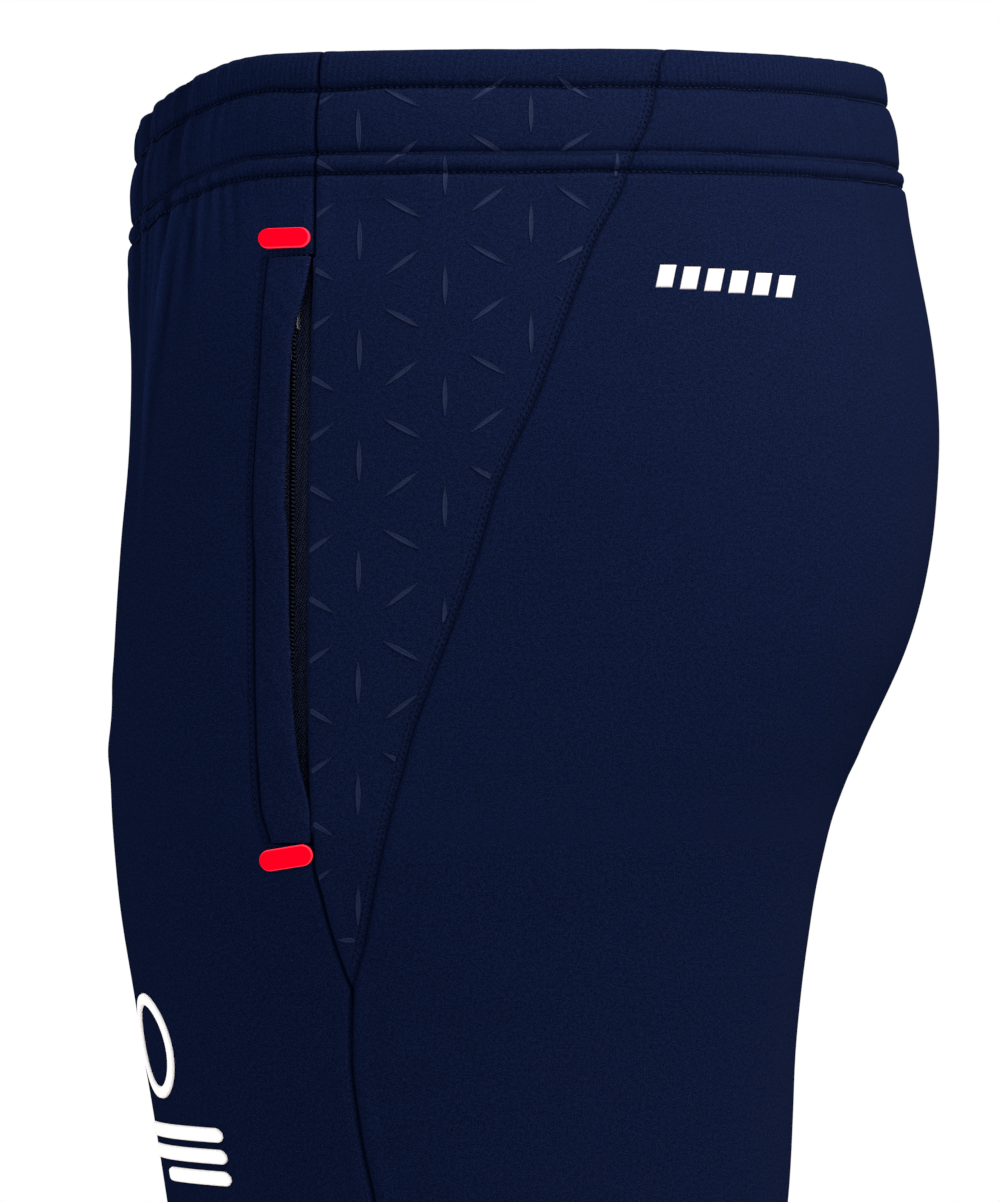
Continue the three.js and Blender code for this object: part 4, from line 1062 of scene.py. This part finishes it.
    # pull: a flat tongue with a window at the pivot end and a raised grip
    PL = 12.0
    bm = bmesh.new()
    rbox(bm, -1.9, 1.9, PH - 0.25, PH + 0.25, PV - 0.3, PV + 0.3, side, 0.2, 3)
    for sg in (-1, 1):
        rbox(bm, sg * 1.5 - 0.4, sg * 1.5 + 0.4, PH - 0.25, PH + 0.25, PV - 0.2, PV + 3.3, side, 0.18, 3)
    rbox(bm, -1.9, 1.9, PH - 0.25, PH + 0.25, PV + 3.0, PV + PL, side, 0.22, 3)
    for i in range(5):
        s_ = PV + 5.4 + i * 1.15
        rbox(bm, -1.35, 1.35, PH + 0.1, PH + 0.42, s_ - 0.2, s_ + 0.2, side, 0.13, 3)
    ob = bm_object(f"zip_pull_tongue_{word}", bm, "zip_metal")
    finish_piece(ob, f"zip_pull_{word}", f"pull_{word}")


# ------------------------------------------------------------------ tabs, badge, prints and the embossed pattern
def stadium(name, yc, zc, ln, wd, turn, side, h0, h1, mat, rings=9, around=120):
    """A padded stadium on the surface, with satin ridges across it."""
    r, d = wd / 2, (ln - wd) / 2
    an = np.arange(around) * 2 * PI / around
    # outline by arc length so that ridges stay even
    per = 4 * d + 2 * PI * r
    s = np.arange(around) / around * per
    X, Y = np.zeros(around), np.zeros(around)
    for i, q in enumerate(s):
        if q < 2 * d:
            X[i], Y[i] = -d + q, -r
        elif q < 2 * d + PI * r:
            t = (q - 2 * d) / r - PI / 2
            X[i], Y[i] = d + r * math.cos(t), r * math.sin(t)
        elif q < 4 * d + PI * r:
            X[i], Y[i] = d - (q - 2 * d - PI * r), r
        else:
            t = (q - 4 * d - PI * r) / r + PI / 2
            X[i], Y[i] = -d + r * math.cos(t), r * math.sin(t)
    k = np.concatenate([[0.0], np.linspace(0.12, 1, rings) ** 0.8])
    rows_ = []
    spine = np.clip(X, -d, d)
    for f in k:
        rows_.append((spine + (X - spine) * f, Y * f))
    c, s_ = math.cos(turn), math.sin(turn)

    def lay(x, y, h):
        yy, zz = yc + x * c - y * s_, zc + x * s_ + y * c
        a = angle_at_y(yy, zz)
        P, Nn = place_smooth(a, zz, side)
        return P + Nn * h[..., None]
    G = []
    for f, (x, y) in zip(k, rows_):
        dome = h0 + (h1 - h0) * (1 - max(0.0, (f - 0.80) / 0.20) ** 2.2 * 0.75) + 0.035 * np.cos(2 * PI * x / 0.62) * (f < 0.97)
        G.append(lay(x, y, dome))
    G.append(lay(rows_[-1][0], rows_[-1][1], np.full(around, h0)))
    for f in (0.55, 0.0):
        G.append(lay(spine + (X - spine) * f, Y * f, np.full(around, h0)))
    V = np.concatenate(G)
    nr = len(G)
    faces = []
    for k_ in range(nr - 1):
        for i in range(around):
            j = (i + 1) % around
            faces.append((k_ * around + i, k_ * around + j, (k_ + 1) * around + j, (k_ + 1) * around + i))
    ob = make_mesh(name, V, faces, mat)
    # the rim ring takes the lighter glowing red: painted highlight on the tab's edge
    ob.data.materials.append(MATS["red_rim"])
    for p_ in ob.data.polygons:
        if p_.index // around == rings - 1:
            p_.material_index = 1
    bm = bmesh.new()
    bm.from_mesh(ob.data)
    bmesh.ops.remove_doubles(bm, verts=bm.verts[:], dist=1e-6)
    bmesh.ops.dissolve_degenerate(bm, edges=bm.edges[:], dist=1e-7)
    # the spine rings are flat slits: sew them shut
    holes = [e for e in bm.edges if e.is_boundary]
    if holes:
        bmesh.ops.holes_fill(bm, edges=holes, sides=0)
    bmesh.ops.recalc_face_normals(bm, faces=bm.faces[:])
    bm.to_mesh(ob.data)
    bm.free()
    return ob


for side, word in SIDES:
    for nm, y, z, ln, wd, turn in (("top", -65.0, -56.3, 15.9, 6.1, 0.0), ("bottom", -64.0, -243.0, 16.3, 6.4, 0.17)):
        ob = stadium(f"pocket_tab_{nm}_satin_{word}", y, z, ln, wd, turn, side, 0.45, 1.55, "red")
        finish_piece(ob, f"pocket_tab_{nm}_{word}")


def lens_meshes(name, side):
    """Raised outlined strokes with a fine hatch, laid out on the edges of a triangular lattice."""
    px = 0.3005
    lean = {-2: 14.0, -1: 9.0, 0: 0.0, 1: -7.0, 2: -3.0, 3: 0.0}
    pt = {}
    for i in range(-2, 4):
        for k in range(-5, 8):
            x = 445 + 86 * i
            y = 341 + 111 * k + (55.5 if i % 2 else 0.0) + lean[i] - (111 if i % 2 else 0) * 0
            pt[i, k] = np.array([(x - 500) * px, -166 + (601 - y) * px])
    edges = []
    for (i, k), p in pt.items():
        if (i, k + 1) in pt:
            edges.append((p, pt[i, k + 1]))
        nxt = (k, k - 1) if i % 2 == 0 else (k, k + 1)
        for kk in nxt:
            if (i + 1, kk) in pt:
                edges.append((p, pt[i + 1, kk]))
    edges.append((np.array([-52.5, -267.4]), np.array([-38.0, -267.8])))
    outers, faces, base = [], [], 0
    U, V = np.meshgrid(np.linspace(-1, 1, 41), np.linspace(-1, 1, 13), indexing="ij")
    for p, q in edges:
        mid, dr = (p + q) / 2, unit(q - p)
        nr = np.array([-dr[1], dr[0]])
        half = 6.15 if np.linalg.norm(q - p) > 20 else 3.4
        wide = 0.68 * (1 - U ** 2) + 0.05
        Y = mid[0] + dr[0] * U * half + nr[0] * V * wide
        Z = mid[1] + dr[1] * U * half + nr[1] * V * wide
        if Z.max() > -1.5 or Z.min() < -272:
            continue
        zr = Z[:, 6]
        lo = np.interp(-zr, -ZG, cubic(SEAM_A, ZG, 1) - BULGE) + 0.9
        hi = np.interp(-zr, -ZG, cubic(SEAM_B, ZG, 1)) - 2.9
        yc, sl = Y[:, 6], nr[0] * wide[:, 6]
        sl = np.where(np.abs(sl) < 1e-4, 1e-4, sl)
        t1, t2 = (lo - yc) / sl, (hi - yc) / sl
        v0, v1 = np.clip(np.minimum(t1, t2), -1, 1), np.clip(np.maximum(t1, t2), -1, 1)
        ok = np.where(v1 - v0 > 0.5)[0]
        if len(ok) < 7:
            continue
        cut = slice(ok[0], ok[-1] + 1)
        Uc, Wc = U[cut], wide[cut]
        Vc = (v0 + v1)[cut, None] / 2 + (v1 - v0)[cut, None] / 2 * V[cut]
        Yc = mid[0] + dr[0] * Uc * half + nr[0] * Vc * Wc
        Zc = mid[1] + dr[1] * Uc * half + nr[1] * Vc * Wc
        A = angle_at_y(Yc, Zc)
        border = smooth(0.50, 0.74, np.abs(Vc))
        border = np.maximum(border, smooth(0.84, 0.94, np.abs(Uc)))
        hatch = 0.5 + 0.5 * np.cos(2 * PI * (Uc * half * 0.8 + Vc * Wc * 1.1) / 0.95)
        h = 0.02 + 0.22 * border + 0.15 * hatch * (1 - border)
        rim = smooth(0.93, 1.0, np.abs(V[cut]))
        h = h * (1 - rim)
        P, Nn = place(A, Zc, side)
        top = P + Nn * (h + 0.03)[..., None]
        bot = P + Nn * (-0.18 + 0 * h)[..., None]
        n0, n1 = top.shape[:2]
        O = base + np.arange(n0 * n1).reshape(n0, n1)
        I = O + n0 * n1
        outers.append(np.concatenate([top.reshape(-1, 3), bot.reshape(-1, 3)]))
        base += 2 * n0 * n1
        e1 = top[n0 // 2, n1 // 2 + 1] - top[n0 // 2, n1 // 2]
        e2 = top[n0 // 2 + 1, n1 // 2] - top[n0 // 2, n1 // 2]
        good = np.dot(np.cross(e1, e2), Nn[n0 // 2, n1 // 2]) > 0
        ff = []
        for r in range(n0 - 1):
            for c in range(n1 - 1):
                ff.append((O[r, c], O[r, c + 1], O[r + 1, c + 1], O[r + 1, c]))
                ff.append((I[r, c], I[r + 1, c], I[r + 1, c + 1], I[r, c + 1]))
        for c in range(n1 - 1):
            ff.append((O[0, c + 1], O[0, c], I[0, c], I[0, c + 1]))
            ff.append((O[-1, c], O[-1, c + 1], I[-1, c + 1], I[-1, c]))
        for r in range(n0 - 1):
            ff.append((O[r, 0], O[r + 1, 0], I[r + 1, 0], I[r, 0]))
            ff.append((O[r + 1, -1], O[r, -1], I[r, -1], I[r + 1, -1]))
        faces += [tuple(int(x) for x in (f if good else reversed(f))) for f in ff]
    return make_mesh(name, np.concatenate(outers), faces, "emboss")


for side, word in SIDES:
    finish_piece(lens_meshes(f"gore_emboss_{word}", side), None)


def ring_piece():
    n, m = 240, 15
    T = np.arange(n) * 2 * PI / n
    U = np.linspace(0, 1, m)
    TT, UU = np.meshgrid(T, U, indexing="ij")
    R = 12.4 + 3.6 * UU
    Z = -302.0 + R * np.sin(TT)
    A = angle_at_x(118.0 + R * np.cos(TT) * 0.8, Z)
    P, Nn = place_smooth(A, Z, 0)
    e = np.minimum(UU, 1 - UU) * 3.6
    h = 0.55 + 0.75 * np.sqrt(np.clip(1 - (1 - np.clip(e / 0.7, 0, 1)) ** 2, 0, 1)) + 0.045 * np.cos(TT * 150) * (e > 0.1)
    top, bot = P + Nn * h[..., None], P + Nn * (0.35 + 0 * h)[..., None]
    # grid columns run round the ring
    return shell_mesh("thigh_emblem_ring_satin", top.transpose(1, 0, 2), bot.transpose(1, 0, 2), "white", wrap=True, step=1)


finish_piece(ring_piece(), "thigh_emblem_ring")
for nm, dz, x0, w in (("upper", -26, 122, 44), ("middle", -32.6, 122, 44), ("lower", -39.2, 129, 30)):
    U, V = np.meshgrid(np.linspace(0, 1, 200), np.linspace(-1, 1, 13), indexing="ij")
    endr = np.sqrt(np.clip(1 - np.clip(1 - np.minimum(U, 1 - U) * w / 2.1, 0, 1) ** 2, 0.10, 1))
    Z = -302.0 + dz + V * 2.2 * endr
    A = angle_at_x(x0 + (U - 0.5) * w, Z)
    P, Nn = place_smooth(A, Z, 0)
    e = np.minimum((1 - np.abs(V)) * 2.2, np.minimum(U, 1 - U) * w)
    h = 0.55 + 0.75 * np.sqrt(np.clip(1 - (1 - np.clip(e / 0.7, 0, 1)) ** 2, 0, 1)) + 0.045 * np.cos(2 * PI * U * w / 0.6) * (e > 0.1)
    ob = shell_mesh(f"thigh_emblem_bar_{nm}_satin", P + Nn * h[..., None], P + Nn * (0.35 + 0 * h)[..., None], "white", step=1)
    finish_piece(ob, f"thigh_emblem_bar_{nm}")

for k in range(6):
    y0 = 48 + 7.3 * k
    U, V = np.meshgrid(np.linspace(0, 1, 21), np.linspace(-1, 1, 27), indexing="ij")
    Y = y0 + 0.7 + 0.7 * V + U * 4.9 - 1.2
    Z = -68.3 + 3.4 * V - 0.07 * (y0 - 48)
    A = angle_at_y(Y, Z)
    P, Nn = place(A, Z, 0)
    e = np.minimum(np.minimum(U, 1 - U) * 4.9, (1 - np.abs(V)) * 3.4)
    h = 0.10 + 0.22 * smooth(0, 0.5, e) + 0.02 * np.cos(2 * PI * (Y + Z) / 0.8)
    ob = shell_mesh(f"hip_print_dash_{k + 1}_film", P + Nn * h[..., None], P + Nn * (-0.15 + 0 * h)[..., None], "silver", step=1)
    finish_piece(ob, f"hip_print_dash_{k + 1}")


# ------------------------------------------------------------------ elastic, inside the casing and the hems
def elastic_ring(name, rows_, lo_hi, both, cols, side=0, thick=0.95):
    outer, inner = [], []
    t = np.linspace(0, 1, cols)
    for i, v in enumerate(rows_):
        o, n_ = [], []
        for lo, hi in lo_hi:
            a0 = lo(np.array(-v)) + (hi(np.array(-v)) - lo(np.array(-v))) * t
            z = height_of(np.full(t.shape, v), surf(a0, np.full(t.shape, -v))[..., 1]) if both else np.full(t.shape, -v)
            a = lo(z) + (hi(z) - lo(z)) * t
            P, Nn = surf(a, z), normal(a, z)
            P = P + Nn * ease(P[..., 1], z)[..., None]
            q = np.arange(cols)
            rib = 0.14 * math.cos(i * PI) + 0.10 * np.cos(q * PI) * (1 if both else 1)
            o.append(P - Nn * (2.02 - np.clip(rib, -0.02, 0.1))[..., None])
            n_.append(P - Nn * (1.95 + thick + 0.0 * rib)[..., None])
        outer.append(np.concatenate(o)), inner.append(np.concatenate(n_))
    outer, inner = np.array(outer), np.array(inner)
    if both:
        m = np.array([-1, 1, 1])
        outer = np.concatenate([outer, outer[:, ::-1] * m], 1)
        inner = np.concatenate([inner, inner[:, ::-1] * m], 1)
    elif side:
        outer, inner = outer * np.array([-1, 1, 1]), inner * np.array([-1, 1, 1])
    return shell_mesh(name, outer, inner, "elastic", side=side, wrap=True, step=1)


EPS = 0.004
spans_top = [(lambda z: aF(z) + EPS, lambda z: aA(z) - EPS), (lambda z: aA(z) + EPS, lambda z: aB(z) - EPS), (lambda z: aB(z) + EPS, lambda z: aK(z) - EPS)]
ob = elastic_ring("waist_elastic_woven", np.linspace(4.6, 36.6, 17), spans_top, True, 70)
finish_piece(ob, "waist_elastic")
wb = ob
for side, word in SIDES:
    ob = elastic_ring(f"hem_elastic_woven_{word}", np.linspace(HEM_Z - 21, HEM_Z - 4.6, 9),
                      [(lambda z: aF(z) + EPS, lambda z: aA(z) - EPS), (lambda z: aB(z) + EPS, lambda z: aK(z) - EPS)], False, 70, side)
    finish_piece(ob, f"hem_elastic_{word}")


# ------------------------------------------------------------------ pocket bags
for side, word in SIDES:
    for nm, y0, mat_ in (("outer", -78.0, 0), ("inner", -44.0, 1)):
        z = np.linspace(-56, -280, 90)
        t = np.linspace(0, 1, 60)
        Z = np.repeat(z[:, None], 60, 1)
        a0 = angle_at_y(np.full(z.shape, y0), z)
        A = a0[:, None] + (-1.32 - a0[:, None]) * t[None]
        d0 = 4.4 if nm == "outer" else (14.6 + 5.2 * (1 - ((Z + 147) / 140) ** 2))
        d1 = 4.4 if nm == "outer" else 6.8
        D = d0 + (d1 - d0) * smooth(0, 1, t)[None]
        e = np.minimum(np.minimum(t, 1 - t)[None] * 6, np.minimum(Z + 280, -56 - Z) / 30)
        D = D + 0.25 * noise2(Z / 19.0, A * 9.0, 501 + mat_) * np.clip(e, 0, 1)
        P, Nn = surf(A, Z), normal(A, Z)
        outer, inner = P - Nn * D[..., None], P - Nn * (D + 0.5)[..., None]
        if side:
            outer, inner = outer * np.array([-1, 1, 1]), inner * np.array([-1, 1, 1])
        ob = shell_mesh(f"pocket_bag_{nm}_mesh_{word}", outer, inner, "bag_mesh", side=side, step=1)
        finish_piece(ob, f"pocket_bag_{nm}_{word}")


# ------------------------------------------------------------------ labels and eyelets
lo_, hi_ = [np.array(v) * 1000 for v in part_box("size_label")]
c = (lo_ + hi_) / 2
X, Z = np.meshgrid(np.linspace(-16, 16, 81), np.linspace(-9, 9, 47), indexing="ij")
hem_ = 0.10 * (np.maximum(gauss(9 - np.abs(Z), 1.4), gauss(16 - np.abs(X), 1.2)))
dip = 0.12 * np.maximum(gauss(np.abs(X) - 14.2, 0.35), 0) * (0.5 + 0.5 * np.cos(Z * PI))
yo = c[1] - 0.16 - hem_ + dip + 0.10 * np.cos(X / 7)
out_ = np.stack([X, yo, Z + c[2]], -1)
inn_ = np.stack([X, c[1] + 0.20 + 0 * X, Z + c[2]], -1)
ob = shell_mesh("size_label_satin", out_, inn_, "label", step=2)
finish_piece(ob, "size_label")
lo_, hi_ = [np.array(v) * 1000 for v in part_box("care_label")]
c = (lo_ + hi_) / 2
Y, Z = np.meshgrid(np.linspace(-13, 13, 61), np.linspace(-23, 23, 101), indexing="ij")
hem_ = 0.09 * np.maximum(gauss(13 - np.abs(Y), 1.2), gauss(23 - np.abs(Z), 1.6))
wv = 0.35 * np.sin(Z / 9.0) * (23 - Z) / 46
ob = shell_mesh("care_label_satin", np.stack([c[0] + 0.14 + hem_ + wv, Y + c[1], Z + c[2]], -1),
                np.stack([c[0] - 0.16 + wv, Y + c[1], Z + c[2]], -1), "label", step=2)
finish_piece(ob, "care_label")

a_e = float(bisect(lambda a: surf(a, np.full(a.shape, -22.0))[..., 0] - 16.0, np.array([-PI]), np.array([-0.2]))[0])
z_e = float(height_of(22.0, surf(a_e, -22.0)[1]))
n_e = normal(np.array(a_e), np.array(z_e))
c_e = surf(a_e, z_e) - 4.2 * n_e
side_e = unit(np.cross(np.array([0, 0, 1.0]), n_e))
up_e = np.cross(side_e, n_e)
for side, word in SIDES:
    prof = [(2.1, 0.80), (2.16, 0.92), (2.45, 0.98), (2.74, 0.92), (2.8, 0.78), (2.82, -0.2), (2.95, -0.33), (5.0, -0.36), (5.18, -0.44),
            (5.2, -0.60), (5.12, -0.76), (4.85, -0.98), (4.3, -1.08), (3.4, -1.10), (2.6, -1.06), (2.25, -0.90), (2.12, -0.68)]
    n_ = 72
    V, F = [], []
    for i in range(n_):
        t = 2 * PI * i / n_
        for r, y in prof:
            p = c_e + side_e * r * math.cos(t) + up_e * r * math.sin(t) + n_e * y
            V.append(p * np.array([-1, 1, 1]) if side else p)
    m_ = len(prof)
    for i in range(n_):
        for j in range(m_):
            F.append((i * m_ + j, i * m_ + (j + 1) % m_, ((i + 1) % n_) * m_ + (j + 1) % m_, ((i + 1) % n_) * m_ + j))
    ob = make_mesh(f"drawcord_eyelet_rolled_{word}", V, F, "zip_metal")
    bm = bmesh.new()
    bm.from_mesh(ob.data)
    bmesh.ops.recalc_face_normals(bm, faces=bm.faces[:])
    bm.to_mesh(ob.data)
    bm.free()
    finish_piece(ob, f"drawcord_eyelet_{word}")


# ------------------------------------------------------------------ floor, light and camera
def floor_material():
    m = bpy.data.materials.new("floor_matte")
    m.use_nodes = True
    p = m.node_tree.nodes["Principled BSDF"]
    p.inputs["Base Color"].default_value = (0.82, 0.82, 0.83, 1)
    p.inputs["Roughness"].default_value = 0.95
    p.inputs["Specular IOR Level"].default_value = 0.05
    return m


bpy.ops.mesh.primitive_plane_add(size=9.0, location=(0, 0, -1.0225))
floor = bpy.context.object
floor.name = "studio_floor"
floor.data.materials.append(floor_material())

world = bpy.data.worlds.new("studio")
bpy.context.scene.world = world
world.use_nodes = True
bg = world.node_tree.nodes["Background"]
bg.inputs["Color"].default_value = (1, 1, 1, 1)
bg.inputs["Strength"].default_value = 1.0


def area(name, loc, at, size, energy, color=(1, 1, 1)):
    d = bpy.data.lights.new(name, "AREA")
    d.shape = "SQUARE"
    d.size = size
    d.energy = energy
    d.color = color
    o = bpy.data.objects.new(name, d)
    bpy.context.scene.collection.objects.link(o)
    o.location = loc
    o.rotation_euler = (Vector(at) - Vector(loc)).to_track_quat("-Z", "Y").to_euler()
    return o


area("key", (0.59, 0.73, 1.06), (0.10, 0.03, -0.06), 0.5, 56.0, (1.0, 0.78, 0.60))
area("front_fill", (0.62, -0.72, 0.34), (0.11, -0.09, -0.10), 0.25, 2.6, (1.0, 0.86, 0.74))

cam_data = bpy.data.cameras.new("camera")
cam = bpy.data.objects.new("camera", cam_data)
bpy.context.scene.collection.objects.link(cam)
cam.location = (3.0, 0.0, -0.166)
cam.rotation_euler = (PI / 2, 0, PI / 2)
cam_data.lens = 282.5
cam_data.sensor_width = 36.0
cam_data.sensor_fit = "AUTO"
cam_data.clip_start, cam_data.clip_end = 0.1, 40.0
bpy.context.scene.camera = cam
bpy.context.scene.view_settings.view_transform = "Standard"
bpy.context.scene.view_settings.look = "None"
